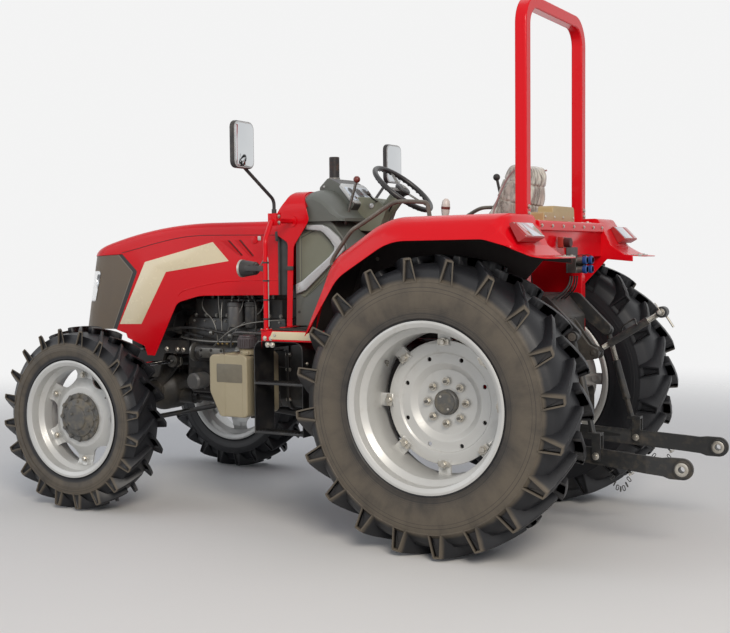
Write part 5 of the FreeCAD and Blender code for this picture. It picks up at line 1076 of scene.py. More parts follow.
piece("instrument_pod", pod, "chassis", "black_plastic", dark_plastic, silver_plastic, dial_white, signal_red)

# Steering wheel: black moulded rim with finger grips under it, on three pressed spokes.

grip_black = finish("grip_black", lambda term, place: {
    "Base Color": place.noise(20, 4).blend((0.012, 0.012, 0.013), (0.035, 0.034, 0.034)),
    "Roughness": place.noise(50, 3) * 0.2 + 0.3, "Bump": (place.noise(500, 2), 0.12, 0.0004)})
wheel = bmesh.new()
turned(wheel, [(0.184 + 0.0142 * math.cos(a), 0.0142 * math.sin(a)) for a in [math.tau * i / 14 for i in range(15)]],
       (0, 0, 0), (0, 0, 1), 96)
for i in range(36):
    turn = math.tau * i / 36
    turned(wheel, [(0, -0.009), (0.0045, -0.008), (0.0075, -0.004), (0.0082, 0), (0.0075, 0.004), (0.0045, 0.008), (0, 0.009)],
           (math.cos(turn) * 0.181, math.sin(turn) * 0.181, -0.0095), (-math.sin(turn), math.cos(turn), 0), 12)
for turn in (90, 210, 330):
    spin_by = Matrix.Rotation(math.radians(turn), 3, "Z")
    plate(wheel, [spin_by @ Vector(c) for c in ((0.03, -0.017, -0.009), (0.178, -0.011, -0.004), (0.178, 0.011, -0.004),
                                                (0.03, 0.017, -0.009))], (0, 0, 0.0045), 0, 0.0014, 1)
    plate(wheel, [spin_by @ Vector(c) for c in ((0.05, -0.006, -0.0045), (0.15, -0.0035, -0.001), (0.15, 0.0035, -0.001),
                                                (0.05, 0.006, -0.0045))], (0, 0, 0.003), 0, 0.0012, 1)
turned(wheel, [(0, -0.036), (0.03, -0.036), (0.036, -0.02), (0.045, -0.008), (0.046, 0.002), (0.04, 0.009),
               (0.024, 0.013), (0, 0.014)], (0, 0, 0), (0, 0, 1), 40)
turned(wheel, [(0, 0.0132), (0.019, 0.0128), (0.018, 0.016), (0, 0.0168)], (0, 0, 0), (0, 0, 1), 32, 1)
turned(wheel, [(0, -0.14), (0.018, -0.14), (0.018, -0.03), (0, -0.03)], (0, 0, 0), (0, 0, 1), 24, 1)
wheel.transform(Matrix.Translation(at(575, 0, 1779)) @ Matrix.Rotation(math.radians(-40), 4, "Y"))
piece("steering_wheel_cover", wheel, "steering_wheel", "black_plastic", grip_black, bare_metal,
      replaced=["steering_wheel"])

# Seat: two vinyl pads, dark plum, welded along their edges and channelled across the front; the back
# pad is still in the clear film it was delivered in. They are swelled with cloth, then eased.

def vinyl(term, place):
    wear = place.noise(6, 4)
    return {"Base Color": wear.blend((0.055, 0.018, 0.03), (0.10, 0.035, 0.05)),
            "Roughness": wear * 0.2 + 0.32, "Bump": (place.noise(380, 3, 0.6), 0.25, 0.0008)}


def clear_film(term, place):
    folds = place.scaled((9, 16, 2.2)).noise(2.2, 6, 0.62)
    fine = place.scaled((30, 50, 8)).noise(2.2, 4, 0.6)
    milky = (folds * 0.75 + fine * 0.35).rise(0.4, 0.66)
    return {"Base Color": milky.blend((0.46, 0.43, 0.35), (0.8, 0.77, 0.66)), "Alpha": milky * 0.5 + 0.42,
            "Roughness": fine * 0.2 + 0.12, "Bump": (folds + fine * 0.4, 0.6, 0.006)}


seat_vinyl = finish("seat_vinyl", vinyl, Coat_Weight=0.15)
film = finish("clear_film", clear_film, Specular_IOR_Level=0.7)
piping = finish("seat_piping", lambda term, place: {
    "Base Color": place.noise(40, 3).blend((0.36, 0.2, 0.2), (0.46, 0.28, 0.26)),
    "Roughness": place.noise(60, 3) * 0.2 + 0.35})


def swelled(name, outline, half, cap, channels):
    """A pad from its side outline: remeshed, blown up as cloth, its travel capped, its channels drawn in."""
    shape = bmesh.new()
    plate(shape, [at(x, -half, z) for x, z in outline], (0, half / 500, 0), 0, 0.022)
    bmesh.ops.triangulate(shape, faces=shape.faces[:])
    mesh = bpy.data.meshes.new(name)
    shape.to_mesh(mesh)
    shape.free()
    pad = bpy.data.objects.new(name, mesh)
    bpy.context.scene.collection.objects.link(pad)
    remesh = pad.modifiers.new("remesh", "REMESH")
    remesh.mode = "VOXEL"
    remesh.voxel_size = 0.0085

    def settled():
        graph = bpy.context.evaluated_depsgraph_get()
        return bpy.data.meshes.new_from_object(pad.evaluated_get(graph))

    even = settled()
    pad.modifiers.clear()
    pad.data = even
    if name == "back":
        for vert in even.vertices:
            share = min(1, max(0, (vert.co.z - 1.52) / 0.32))
            vert.co.y *= 1 - 0.3 * share ** 1.5
    start = [v.co.copy() for v in even.vertices]
    cloth = pad.modifiers.new("cloth", "CLOTH")
    cloth.settings.use_pressure = True
    cloth.settings.uniform_pressure_force = 4
    cloth.settings.effector_weights.gravity = 0
    cloth.settings.quality = 4
    cloth.point_cache.frame_end = 20
    for step in range(1, 21):
        bpy.context.scene.frame_set(step)
    blown = settled()
    pad.modifiers.clear()
    pad.data = blown
    bpy.context.scene.frame_set(1)
    for vert, first in zip(blown.vertices, start):
        move = vert.co - first
        if move.length > cap:
            vert.co = first + move.normalized() * cap
    soft = bmesh.new()
    soft.from_mesh(pad.data)
    bpy.data.objects.remove(pad)
    for _ in range(3):
        bmesh.ops.smooth_vert(soft, verts=soft.verts[:], factor=0.5, use_axis_x=True, use_axis_y=True, use_axis_z=True)
    soft.normal_update()
    for vert in soft.verts:
        draw = sum(max(0, 1 - abs(gap(vert.co)) / 0.012) ** 2 for gap in channels)
        vert.co -= vert.normal * 0.009 * min(1, draw)
    return soft


def lean_back(co):
    """Distance up the back pad from its foot."""
    return (co - at(-40, 0, 1480)).dot(Vector((-0.3, 0, 0.95)))


cushion = swelled("cushion", [(-85, 1412), (335, 1412), (370, 1440), (368, 1478), (335, 1492), (-60, 1478)], 230, 0.014,
                  [lambda co: co.x + 0.8425 - 0.24, lambda co: co.x + 0.8425 - 0.12, lambda co: co.x + 0.8425,
                   lambda co: abs(co.y) - 0.165])
made = piece("seat_cushion", cushion, "chassis", "seat_cover", seat_vinyl, replaced=["seat"])
back_pad = swelled("back", [(-100, 1436), (-40, 1452), (-26, 1606), (-122, 1872), (-206, 1872), (-160, 1600)], 222, 0.014,
                   [lambda co: lean_back(co) - 0.12, lambda co: lean_back(co) - 0.22, lambda co: lean_back(co) - 0.32,
                    lambda co: abs(co.y) - 0.15])
wrap = back_pad.copy()
made = piece("seat_back", back_pad, "chassis", "seat_cover", seat_vinyl)
wrap.normal_update()
for vert in wrap.verts:
    fold = math.sin(vert.co.x * 70 + vert.co.z * 46 + 2.2 * math.sin(vert.co.y * 17)) * 0.5 + 0.5
    crease = math.sin(vert.co.y * 63 + vert.co.z * 31 + 1.3 * math.sin(vert.co.x * 41)) * 0.5 + 0.5
    vert.co += vert.normal * (0.0035 + 0.005 * fold ** 3 + 0.004 * crease ** 4)
bmesh.ops.delete(wrap, geom=[f for f in wrap.faces if f.calc_center_median().z < 1.475 or (
    f.normal.x < -0.25 and lean_back(f.calc_center_median()) < 0.13)], context="FACES")
covered = sum(face.calc_area() for face in wrap.faces)
made = piece("seat_film", wrap, "chassis", "seat_cover", film)
round(covered / 0.6, 3)
frame_parts = bmesh.new()
for sign in (1, -1):
    pipe(frame_parts, [at(-70, sign * 224, 1470), at(-44, sign * 222, 1600), at(-92, sign * 200, 1740),
                       at(-140, sign * 160, 1850), at(-200, sign * 158, 1856)], 0.0045, 1)
    pipe(frame_parts, [at(-70, sign * 233, 1478), at(345, sign * 233, 1490), at(368, sign * 231, 1440)], 0.0045, 1)
    plate(frame_parts, [at(-110, sign * 176, 1404), at(320, sign * 176, 1404), at(320, sign * 176, 1414),
                        at(-110, sign * 176, 1414)], (0, sign * 0.02, 0), 0, 0.001)
    plate(frame_parts, [at(-150, sign * 222, 1408), at(-20, sign * 222, 1408), at(-40, sign * 222, 1480),
                        at(-130, sign * 222, 1560), at(-170, sign * 222, 1560)], (0, sign * 0.005, 0), 0.01, 0.001)
piece("seat_frame", frame_parts, "chassis", "black_paint", black_paint, piping)
finished("seat_base", "chassis", "black_paint", black_paint, edge=0.004)
bellows = bmesh.new()
for step in range(6):
    z = 1252 + step * 24
    plate(bellows, [at(-96, -172, z), at(305, -172, z), at(305, 172, z), at(-96, 172, z)], (0, 0, 0.014), 0.02, 0.004)
piece("seat_bellows", bellows, "chassis", "black_plastic", hose_black)


# Rails and grab handles: a bent tube over each fender, and beside the console a silver cast
# handle in one piece with flat ends, each held by a bright bolt.

rail_coat = finish("rail_coat", lambda term, place: {
    "Base Color": place.noise(16, 5, 0.6).rise(0.3, 0.8).blend((0.10, 0.085, 0.07), (0.19, 0.17, 0.14)),
    "Roughness": place.noise(40, 3) * 0.25 + 0.3}, Metallic=0.3)
rails = bmesh.new()
for sign in (1, -1):
    pipe(rails, [at(x, sign * 520, z) for x, z in (
        (675, 1340), (720, 1368), (716, 1398), (660, 1470), (600, 1546), (560, 1566), (500, 1598), (400, 1657),
        (344, 1684), (280, 1686), (200, 1680), (162, 1676), (156, 1640), (150, 1606))], 0.011, 0)
    plate(rails, [at(x, sign * 304, z) for x, z in (
        (1016, 1586), (900, 1585), (858, 1568), (800, 1520), (768, 1470), (765, 1448), (776, 1434), (1008, 1231),
        (1073, 1209), (1073, 1264), (1033, 1280), (858, 1412), (826, 1446), (824, 1464), (852, 1505), (890, 1540),
        (912, 1552), (1010, 1561))], (0, sign * 0.02, 0), 0, 0.0055, 1)
    for x, z in ((1000, 1574), (1052, 1240)):
        turned(rails, [(0, 0), (0.009, 0), (0.0075, 0.005), (0, 0.005)], at(x, sign * 323.5, z), (0, sign, 0), 18, 2)
    turned(rails, [(0, 0), (0.022, 0), (0.02, 0.005), (0, 0.005)], at(150, sign * 520, 1604.5), (0, 0, 1), 24, 0)
piece("rails_and_handles", rails, "chassis", "black_paint", rail_coat, silver_plastic, zinc, replaced=["handles"])

# Fenders and rear deck: pressed sheet in red, flanged inwards, bolted to the platform and the
# hoop. A moulded cream cover over the filler stands on the deck, lower at its right side.

cover_cream = finish("cover_cream", lambda term, place: {
    "Base Color": place.noise(9, 5, 0.6).blend((0.38, 0.27, 0.12), (0.47, 0.36, 0.18)),
    "Roughness": place.noise(40, 3) * 0.2 + 0.35, "Bump": (place.noise(200, 3), 0.15, 0.0008)})
step_grey = finish("step_grey", lambda term, place: {
    "Base Color": place.noise(14, 5, 0.6).blend((0.42, 0.4, 0.36), (0.58, 0.56, 0.52)),
    "Roughness": place.noise(40, 3) * 0.2 + 0.4})
# Painted shade: the fenders' faces that look in towards the wheels are painted near black.
fender_underside_shade = finish("fender_underside_shade", lambda term, place: {
    "Base Color": place.noise(9, 4, 0.6).blend((0.016, 0.009, 0.009), (0.04, 0.032, 0.028)),
    "Roughness": place.noise(30, 3) * 0.2 + 0.62, "Bump": (place.noise(90, 3), 0.2, 0.001)})
fenders = finished("fenders", "chassis", "red_paint", red, fender_underside_shade, edge=0.003)
# Faces turned towards the wheel hub take the near-black painted shade.
for face in fenders.data.polygons:
    hub = Vector((REAR_HUB.x, math.copysign(REAR_HUB.y, face.center.y), REAR_HUB.z))
    if face.normal.dot((hub - face.center).normalized()) > 0.25 and face.area > 0.002:
        face.material_index = 1
finished("rear_deck", "chassis", "red_paint", red, cover_cream, edge=0.003,
         zones=[lambda c: c.z > 1.5915 and c.x > -1.21 and -0.135 < c.y < 0.31])
deck = bmesh.new()
for sign in (1, -1):
    for x in (-262, -318):
        bolt(deck, at(x, sign * 462, 1583), (0.06, 0, 1), 0.009, 0)
    for x, z in ((470, 1400), (430, 1200), (385, 1080), (-330, 1560)):
        bolt(deck, at(x, sign * 478, z), (0, -sign, 0), 0.008, 0)
    plate(deck, [at(-524, sign * 506, 1401), at(-596, sign * 506, 1401), at(-604, sign * 560, 1401),
                 at(-600, sign * 636, 1401), at(-524, sign * 636, 1401)], (0, 0, 0.008), 0, 0.0012, 1)
    # Painted shade: a dark square on the step plate stands for its notch.
    plate(deck, [at(-530, sign * 560, 1408.6), at(-566, sign * 560, 1408.6), at(-566, sign * 596, 1408.6),
                 at(-530, sign * 596, 1408.6)], (0, 0, 0.0012), 0.006, 0.0003, 2)
    for y in (524, 616):
        bolt(deck, at(-584, sign * y, 1408.6), (0, 0, 1), 0.006, 0)
for y in (-300, -180, 20, 360, 440):
    bolt(deck, at(-386, y, 1574.5), (0.06, 0, 1), 0.007, 0)
for y in (-440, -300, -150, 0, 150, 300, 440):
    bolt(deck, at(-405.5, y, 1554), (-1, 0, 0), 0.007, 0)
plate(deck, [at(-282, -132, 1590), at(-282, -100, 1590), at(-282, -100, 1640), at(-282, -132, 1640)],
      (0.0015, 0, 0), 0.004, 0.0004, 2)
for y in (-110, 40, 160, 285):
    turned(deck, [(0, 0), (0.007, 0), (0.006, 0.0035), (0, 0.004)], at(-362.5, y, 1600), (-1, 0, 0), 14, 0)
piece("deck_fittings", deck, "chassis", "black_plastic", zinc, step_grey, dark_plastic)

# Roll-over hoop: one bent square tube in red, welded to feet that clamp on the axle housings.

finished("rops", "chassis", "red_paint", red, edge=0.006)
hoop_bolts = bmesh.new()
for sign in (1, -1):
    for x, z in ((-50, 790), (50, 800), (-110, 850), (20, 855), (-255, 890), (-255, 940)):
        bolt(hoop_bolts, at(x, sign * 423.5, z), (0, sign, 0), 0.013, 0)
    for z in (1544, 1576):
        bolt(hoop_bolts, at(-320.5, sign * 393, z + 70), (-1, 0, 0), 0.009, 0)
piece("hoop_bolts", hoop_bolts, "chassis", "steel_rod", zinc)

# Tail lamps: a red moulded body on each fender's slope with a red and a clear ribbed lens; the clear lens carries a
# painted reflection of a pale sky.
# Work lamps: black cones with a bright rim and a domed glass, on the frame tubes.

lens_red = finish("lens_red", lambda term, place: {
    "Base Color": (place.part("Y") * 900).maths("SINE", place.part("Y") * 900).rise(-1, 1).blend(
        (0.32, 0.004, 0.006), (0.5, 0.012, 0.012)),
    "Roughness": place.noise(80, 2) * 0.1 + 0.08}, Coat_Weight=0.8)
# Painted reflection: the clear lens is coloured pale bluish white, as it looks when it mirrors the sky; its stripes
# follow the ribs.
lens_clear_sky_reflection = finish("lens_clear_sky_reflection", lambda term, place: {
    "Base Color": (place.part("Y") * 700).maths("SINE", place.part("Y") * 700).rise(-1, 1).blend(
        (0.48, 0.52, 0.6), (0.72, 0.75, 0.8)),
    "Roughness": place.noise(80, 2) * 0.1 + 0.1}, Coat_Weight=0.8)
lamp_red = finish("lamp_red", lambda term, place: {
    "Base Color": place.noise(40, 3).blend((0.42, 0.03, 0.03), (0.3, 0.02, 0.022)),
    "Roughness": place.noise(60, 3) * 0.2 + 0.3})
finished("lamps", "chassis", "lamp", dark_plastic, lamp_red, edge=0.002, zones=[lambda c: c.x < -0.8])
lenses = bmesh.new()
lamp_top, lamp_low = at(-416.7, 0, 1564.0), at(-485.3, 0, 1493.9)
fall = (lamp_low - lamp_top).normalized()
lamp_out = Vector((fall.z, 0, -fall.x))
for sign in (1, -1):
    for y0, y1, paint in ((612, 742, 1), (752, 820, 0)):
        corners = [lamp_top + fall * a + Vector((0, sign * y / 1000, 0)) - lamp_out * 0.0005
                   for a, y in ((0.007, y0), (0.092, y0), (0.092, y1), (0.007, y1))]
        plate(lenses, corners, lamp_out * 0.004, 0.006, 0.0012, paint)
    for y in (606, 747, 824):
        for a in (0.01, 0.09):
            turned(lenses, [(0, 0), (0.0035, 0), (0.003, 0.002), (0, 0.0022)],
                   lamp_top + fall * a + Vector((0, sign * y / 1000, 0)), lamp_out, 10, 2)
    spot = at(1230.5, sign * 605, 1354)
    # The work lamp's domed glass takes the clear lens material, with its painted sky reflection.
    turned(lenses, [(0, -0.002), (0.041, -0.002), (0.04, 0.001), (0.03, 0.0045), (0.015, 0.0065), (0, 0.007)],
           spot - Vector((0.006, 0, 0)), (1, 0, 0), 36, 3)
    turned(lenses, [(0.0405, -0.013), (0.0475, -0.013), (0.0475, 0.0005), (0.0405, 0.0005), (0.0405, -0.013)],
           spot, (1, 0, 0), 40, 2)
    turned(lenses, [(0, 0), (0.03, 0), (0.027, -0.008), (0.012, -0.012), (0, -0.012)], at(1136, sign * 605, 1354),
           (1, 0, 0), 28, 4)
    turned(lenses, [(0, -0.016), (0.011, -0.016), (0.011, 0.016), (0, 0.016)], at(1066, sign * 637, 1354),
           (0, 0, 1), 20, 4)
piece("lamp_lenses", lenses, "chassis", "lamp", lens_red, lens_clear_sky_reflection, zinc, lens_clear_sky_reflection, dark_plastic)

# Side frames: a bent red tube on each side carries a clamp block, a black stalk and a mirror
# in a black moulded housing; a thin pale wire to the work lamp is clipped along the tube.

mirror_glass = finish("mirror_glass", lambda term, place: {
    "Base Color": place.noise(8, 3).blend((0.6, 0.62, 0.64), (0.68, 0.7, 0.71)),
    "Roughness": place.noise(30, 3) * 0.05 + 0.02}, Metallic=1)
wire_grey = finish("wire_grey", lambda term, place: {
    "Base Color": place.noise(40, 3).blend((0.3, 0.29, 0.27), (0.4, 0.39, 0.36)),
    "Roughness": place.noise(60, 3) * 0.2 + 0.4})
finished("side_frames", "chassis", "red_paint", red, dark_plastic, edge=0, zones=[lambda c: c.z > 1.652])
frames = bpy.data.objects["finished_side_frames"].data
tubes = bmesh.new()
tubes.from_mesh(frames)
bmesh.ops.delete(tubes, geom=[v for v in tubes.verts if v.co.z > 1.84 and (abs(v.co.x - at(1090, 0, 0).x) > 0.011
                                                                         or v.co.z > 1.99)], context="VERTS")
tubes.to_mesh(frames)
tubes.free()
fittings = bmesh.new()
for sign in (1, -1):
    head = bmesh.new()
    plate(head, [Vector((-0.014, y, z)) for y, z in ((-0.092, -0.12), (0.092, -0.12), (0.092, 0.12), (-0.092, 0.12))],
          (0.03, 0, 0), 0.036, 0.008, 3)
    plate(head, [Vector((-0.015, y, z)) for y, z in ((-0.088, -0.116), (0.088, -0.116), (0.088, 0.116), (-0.088, 0.116))],
          (0.004, 0, 0), 0.034, 0.0015, 1)
    plate(head, [Vector((-0.0165, y, z)) for y, z in ((-0.081, -0.109), (0.081, -0.109), (0.081, 0.109), (-0.081, 0.109))],
          (0.003, 0, 0), 0.03, 0.0004, 0)
    head.transform(Matrix.Translation(at(1076, sign * 800, 1986)) @ Matrix.Rotation(math.radians(2 * sign), 4, "Z"))
    add(fittings, head)
    for z in (1596, 1629):
        bolt(fittings, at(1047.5, sign * 518, z), (-1, 0, 0), 0.008, 2)
    turned(fittings, [(0, -0.02), (0.014, -0.02), (0.016, -0.015), (0.016, 0.015), (0.014, 0.02), (0, 0.02)],
           at(1091, sign * 776, 1890), (0, sign * 0.25, 1), 20, 3)
    turned(fittings, [(0, -0.012), (0.013, -0.012), (0.013, 0.012), (0, 0.012)], at(1075, sign * 520, 1655), (0, 0, 1), 18, 3)
    pipe(fittings, [at(1034, sign * 641, 1050), at(1034, sign * 641, 1200), at(1034, sign * 641, 1330),
                    at(1034, sign * 641, 1400), at(1045, sign * 636, 1420), at(1075, sign * 625, 1400),
                    at(1105, sign * 612, 1365), at(1132, sign * 606, 1356)], 0.003, 4)
    for z in (1090, 1190, 1290, 1385):
        turned(fittings, [(0.0132, -0.004), (0.0155, -0.004), (0.0155, 0.004), (0.0132, 0.004), (0.0132, -0.004)],
               at(1052, sign * 640, z), (0, 0, 1), 24, 3)
        turned(fittings, [(0, -0.004), (0.0048, -0.004), (0.0048, 0.004), (0, 0.004)], at(1034, sign * 641, z), (0, 0, 1), 12, 3)
    turned(fittings, [(0.013, 0), (0.032, 0), (0.032, 0.006), (0.013, 0.006), (0.013, 0)], at(1052, sign * 640, 1031),
           (0, 0, 1), 28, 5)
    turned(fittings, [(0.013, 0), (0.03, 0), (0.03, 0.006), (0.013, 0.006), (0.013, 0)], at(1075, sign * 352, 1606),
           (0, -sign, 0), 28, 5)
    for turn in (45, 135, 225, 315):
        bolt(fittings, at(1052 + 24 * math.cos(math.radians(turn)), sign * 640 + 24 * math.sin(math.radians(turn)), 1036.5),
             (0, 0, 1), 0.005, 2)
piece("mirror_and_frame_fittings", fittings, "chassis", "black_plastic", mirror_glass, silver_plastic, zinc, dark_plastic,
      wire_grey, red)

# Hood: one pressed and welded steel shell, hinged at its front, in red. A bare cream stripe runs
# along each side to the louvres; a panel line in painted shade, a low crease and a round latch finish it.
# The openings behind the louvres are painted shade too.

# Painted shade: a near-black red for the hood's panel gap, the openings behind the louvres, the exhaust's mouth and the
# quadrant's slot; it also colours the plug socket's cup.
dark_red_and_gap_shade = finish("painted_gap_shade_and_dark_red", lambda term, place: {
    "Base Color": place.noise(30, 3).blend((0.03, 0.002, 0.003), (0.06, 0.006, 0.006)),
    "Roughness": place.noise(40, 3) * 0.2 + 0.5})
stripe = finish("stripe_cream", lambda term, place: {
    "Base Color": place.noise(4, 4).blend((0.78, 0.66, 0.42), (0.86, 0.76, 0.54)),
    "Roughness": place.noise(30, 3) * 0.15 + 0.18}, Coat_Weight=0.4)
finished("hood", "hood", "red_paint", red, edge=0.0025)
marks = bmesh.new()


def wedge(bm, front_line, back_line, sign, lift, paint=0):
    """A louvre: flush at its front line and lifted off the panel at its back line."""
    part = bmesh.new()
    for x, z in front_line:
        part.verts.new(at(x, sign * 318, z))
        part.verts.new(at(x, sign * 320.6, z))
    for x, z in back_line:
        part.verts.new(at(x, sign * 318, z))
        part.verts.new(at(x, sign * (320.6 + lift), z))
    bmesh.ops.convex_hull(part, input=part.verts[:])
    bmesh.ops.recalc_face_normals(part, faces=part.faces[:])
    for face in part.faces:
        face.material_index = paint
    add(bm, part)


for sign in (1, -1):
    plate(marks, [at(x, sign * 319.6, z) for x, z in (
        (2347, 1016), (2178, 1020), (1984, 1330), (1526, 1392), (1637, 1501), (2142, 1389))],
          (0, sign * 0.0011, 0), 0.004, 0.0003, 1)
    for front, back in (((1587, 1509, 1449, 1420), (1530, 1508, 1436, 1423)), ((1489, 1510, 1380, 1419), (1452, 1510, 1360, 1419))):
        wedge(marks, ((front[0], front[1]), (front[2], front[3])), ((back[0], back[1]), (back[2], back[3])), sign, 0.007 * 1000)
        # Painted shade: a dark plate stands for the opening behind each louvre.
        plate(marks, [at(back[0], sign * 319.6, back[1] + 1), at(back[0] - 12, sign * 319.6, back[1] + 1),
                      at(back[2] - 10, sign * 319.6, back[3]), at(back[2], sign * 319.6, back[3])],
              (0, sign * 0.0011, 0), 0, 0.0003, 2)
    # Painted shade: the gap between the hood's top and side panels is a dark strip.
    pipe(marks, [at(x, sign * 320, z) for x, z in (
        (2320, 1444), (2202, 1467), (2025, 1506), (1802, 1541), (1516, 1539), (1202, 1534))], 0.0018, 2)
    pipe(marks, [at(x, sign * 319.4, z) for x, z in ((1895, 1190), (1883, 1219), (1735, 1249), (1556, 1279), (1293, 1285),
                                                      (1190, 1285))], 0.0034, 0)
    turned(marks, [(0, 0), (0.021, 0), (0.02, 0.006), (0.012, 0.009), (0, 0.009)], at(1344, sign * 320, 1508), (0, sign, 0), 28, 0)
    plate(marks, [at(1174, sign * 322, 1556), at(1198, sign * 322, 1552), at(1196, sign * 322, 1500), at(1180, sign * 322, 1500)],
          (0, sign * 0.014, 0), 0.006, 0.003, 3)
    plate(marks, [at(1322, sign * 320, 1506), at(1300, sign * 320, 1506), at(1300, sign * 320, 1530), at(1322, sign * 320, 1530)],
          (0, sign * 0.004, 0), 0.003, 0.0008, 4)
piece("hood_marks", marks, "hood", "red_paint", red, stripe, dark_red_and_gap_shade, dark_plastic, zinc)

# Grille: black perforated sheet behind a smooth border, with slats across the front. Headlamps:
# plated bowls with an amber turn lamp below them, behind one clear cover on each cheek.


def grille_sheet(term, place):
    x, z = place.part("X") + 0.8425, place.part("Z")
    upper_side = (x - 2.240) * 0.687 - (z - 1.330) * 0.726
    lower_side = (x - 2.240) * 0.904 + (z - 1.330) * 0.427
    inside = upper_side.maths("MINIMUM", upper_side, lower_side)
    pale = (inside > 0.0) * (inside < 0.004)
    sheet = inside > 0.004
    holes = (x * 1256).maths("SINE", x * 1256) * (z * 1256).maths("SINE", z * 1256)
    dust = place.noise(6, 5, 0.6).rise(0.3, 0.75)
    pattern = (holes.rise(-0.2, 0.5)).blend((0.17, 0.128, 0.085), (0.05, 0.036, 0.026))
    dusty = (dust * 0.5).blend(pattern, (0.17, 0.13, 0.09))
    colour = sheet.blend((0.012, 0.012, 0.012), dusty)
    return {"Base Color": pale.blend(colour, (0.25, 0.22, 0.18)), "Roughness": dust * 0.2 + 0.38,
            "Bump": (holes * sheet, 0.3, 0.001)}


grille_coat = finish("grille_black", grille_sheet)
finished("grille", "hood", "black_plastic", grille_coat, edge=0.0015)
amber = finish("lens_amber", lambda term, place: {
    "Base Color": place.noise(60, 3).blend((0.62, 0.2, 0.02), (0.72, 0.28, 0.05)),
    "Roughness": place.noise(60, 3) * 0.1 + 0.1}, Coat_Weight=0.6)
clear_cover = finish("clear_cover", lambda term, place: {
    "Base Color": place.noise(4, 3).blend((0.8, 0.84, 0.86), (0.9, 0.92, 0.93)),
    "Alpha": place.noise(5, 3) * 0.08 + 0.16, "Roughness": place.noise(30, 3) * 0.05 + 0.03}, Coat_Weight=1.0)


def outer_skin(c):
    """True for a face on the lamp's outer side."""
    corner_x = 2.633 + 0.192 * (1.440 - c.z) - 0.2 - 0.8425
    if c.x < corner_x:
        return abs(c.y) > 0.31
    return math.hypot(c.x - corner_x, max(0, abs(c.y) - 0.12)) > 0.188


finished("headlamps", "hood", "lamp", chrome, clear_cover, edge=0.0, zones=[outer_skin])
bowls = bmesh.new()
bowl = [(0.004, -0.03), (0.022, -0.026), (0.038, -0.014), (0.05, 0.004), (0.053, 0.004), (0.05, -0.01), (0.03, -0.034),
        (0.004, -0.036), (0.004, -0.03)]
for sign in (1, -1):
    for x, y, way in ((2530, 262, (0.55, sign * 0.83, 0)), (2600, 216, (0.86, sign * 0.5, 0))):
        spot = at(x, sign * y, 1262)
        turned(bowls, bowl, spot, way, 32, 0)
        # The bulbs take the clear lens material, whose pale blue-white is a painted sky reflection.
        turned(bowls, [(0, -0.034), (0.006, -0.032), (0.009, -0.018), (0.007, -0.006), (0, -0.003)], spot, way, 16, 1)
    turned(bowls, [(0, -0.012), (0.022, -0.01), (0.03, 0), (0.028, 0.006), (0, 0.01)], at(2560, sign * 252, 1186),
           (0.7, sign * 0.7, 0), 24, 2)
for i in range(12):
    z = 1001 + i * 34
    front = 2633 + 0.192 * (1440 - z) - 4
    plate(bowls, [at(front - 12, -132, z + 8), at(front - 12, 132, z + 8), at(front + 2, 132, z - 6), at(front + 2, -132, z - 6)],
          (0, 0, 0.003), 0, 0.001, 3)
piece("lamp_bowls_and_slats", bowls, "hood", "lamp", chrome, lens_clear_sky_reflection, amber, dark_plastic)

# Exhaust: blackened steel pipe and silencer beside the hood, with a bright band near its mouth.

heat_black = finish("heat_black", lambda term, place: {
    "Base Color": place.noise(18, 6, 0.7).rise(0.45, 0.7).blend((0.016, 0.015, 0.015), (0.075, 0.042, 0.026)),
    "Roughness": place.noise(30, 4) * 0.3 + 0.45, "Bump": (place.noise(200, 4), 0.3, 0.0008)})
finished("exhaust", "chassis", "black_paint", heat_black, edge=0.003)
stack = bmesh.new()
turned(stack, [(0.031, 1.815), (0.034, 1.817), (0.034, 1.888), (0.031, 1.89), (0.031, 1.815)], at(1270, -420, 0), (0, 0, 1), 40, 0)
for z in (1.31, 1.36, 1.54, 1.59):
    turned(stack, [(0.06, z - 0.004), (0.0625, z), (0.06, z + 0.004), (0.06, z - 0.004)], at(1270, -420, 0), (0, 0, 1), 40, 1)
turned(stack, [(0.031, 1.20), (0.04, 1.204), (0.04, 1.226), (0.031, 1.23), (0.031, 1.20)], at(1270, -420, 0), (0, 0, 1), 32, 0)
bolt(stack, at(1310, -420, 1215), (1, 0, 0), 0.007, 0)
# Painted shade: a dark disc closes the pipe's mouth.
turned(stack, [(0, 2.0135), (0.0275, 2.0135), (0.0275, 2.0142), (0, 2.0142)], at(1270, -420, 0), (0, 0, 1), 28, 2)
piece("exhaust_trim", stack, "chassis", "bright_metal", bare_metal, heat_black, dark_red_and_gap_shade)

# Controls: levers with moulded knobs, rubber boots on the floor, ribbed pedal pads, and the
# lift lever in its slotted quadrant; the throttle knob is red on a bright stalk.

knob_red = finish("knob_red", lambda term, place: {
    "Base Color": place.noise(40, 3).blend((0.2, 0.03, 0.02), (0.13, 0.025, 0.02)),
    "Roughness": place.noise(60, 3) * 0.2 + 0.26})
finished("controls", "chassis", "black_plastic", dark_plastic, bare_metal, knob_red, edge=0.0015,
         zones=[lambda c: 1.5 < c.z < 1.811 and c.y > 0.15, lambda c: c.z > 1.811 and c.y > 0.15])
wrapped_white = finish("wrapped_white", lambda term, place: {
    "Base Color": place.noise(50, 5, 0.6).blend((0.62, 0.52, 0.46), (0.85, 0.82, 0.78)),
    "Roughness": place.noise(60, 3) * 0.2 + 0.15, "Bump": (place.noise(90, 4), 0.6, 0.002)})
levers = bmesh.new()
for x, y in ((480, 110), (560, -110)):
    turned(levers, [(0.009, 0.118), (0.014, 0.11), (0.018, 0.092), (0.027, 0.085), (0.026, 0.068), (0.038, 0.058),
                    (0.037, 0.038), (0.052, 0.026), (0.056, 0.006), (0.07, 0.002), (0.07, 0), (0, 0)],
           at(x, y, 1034), (-0.18, 0, 1), 28, 0)
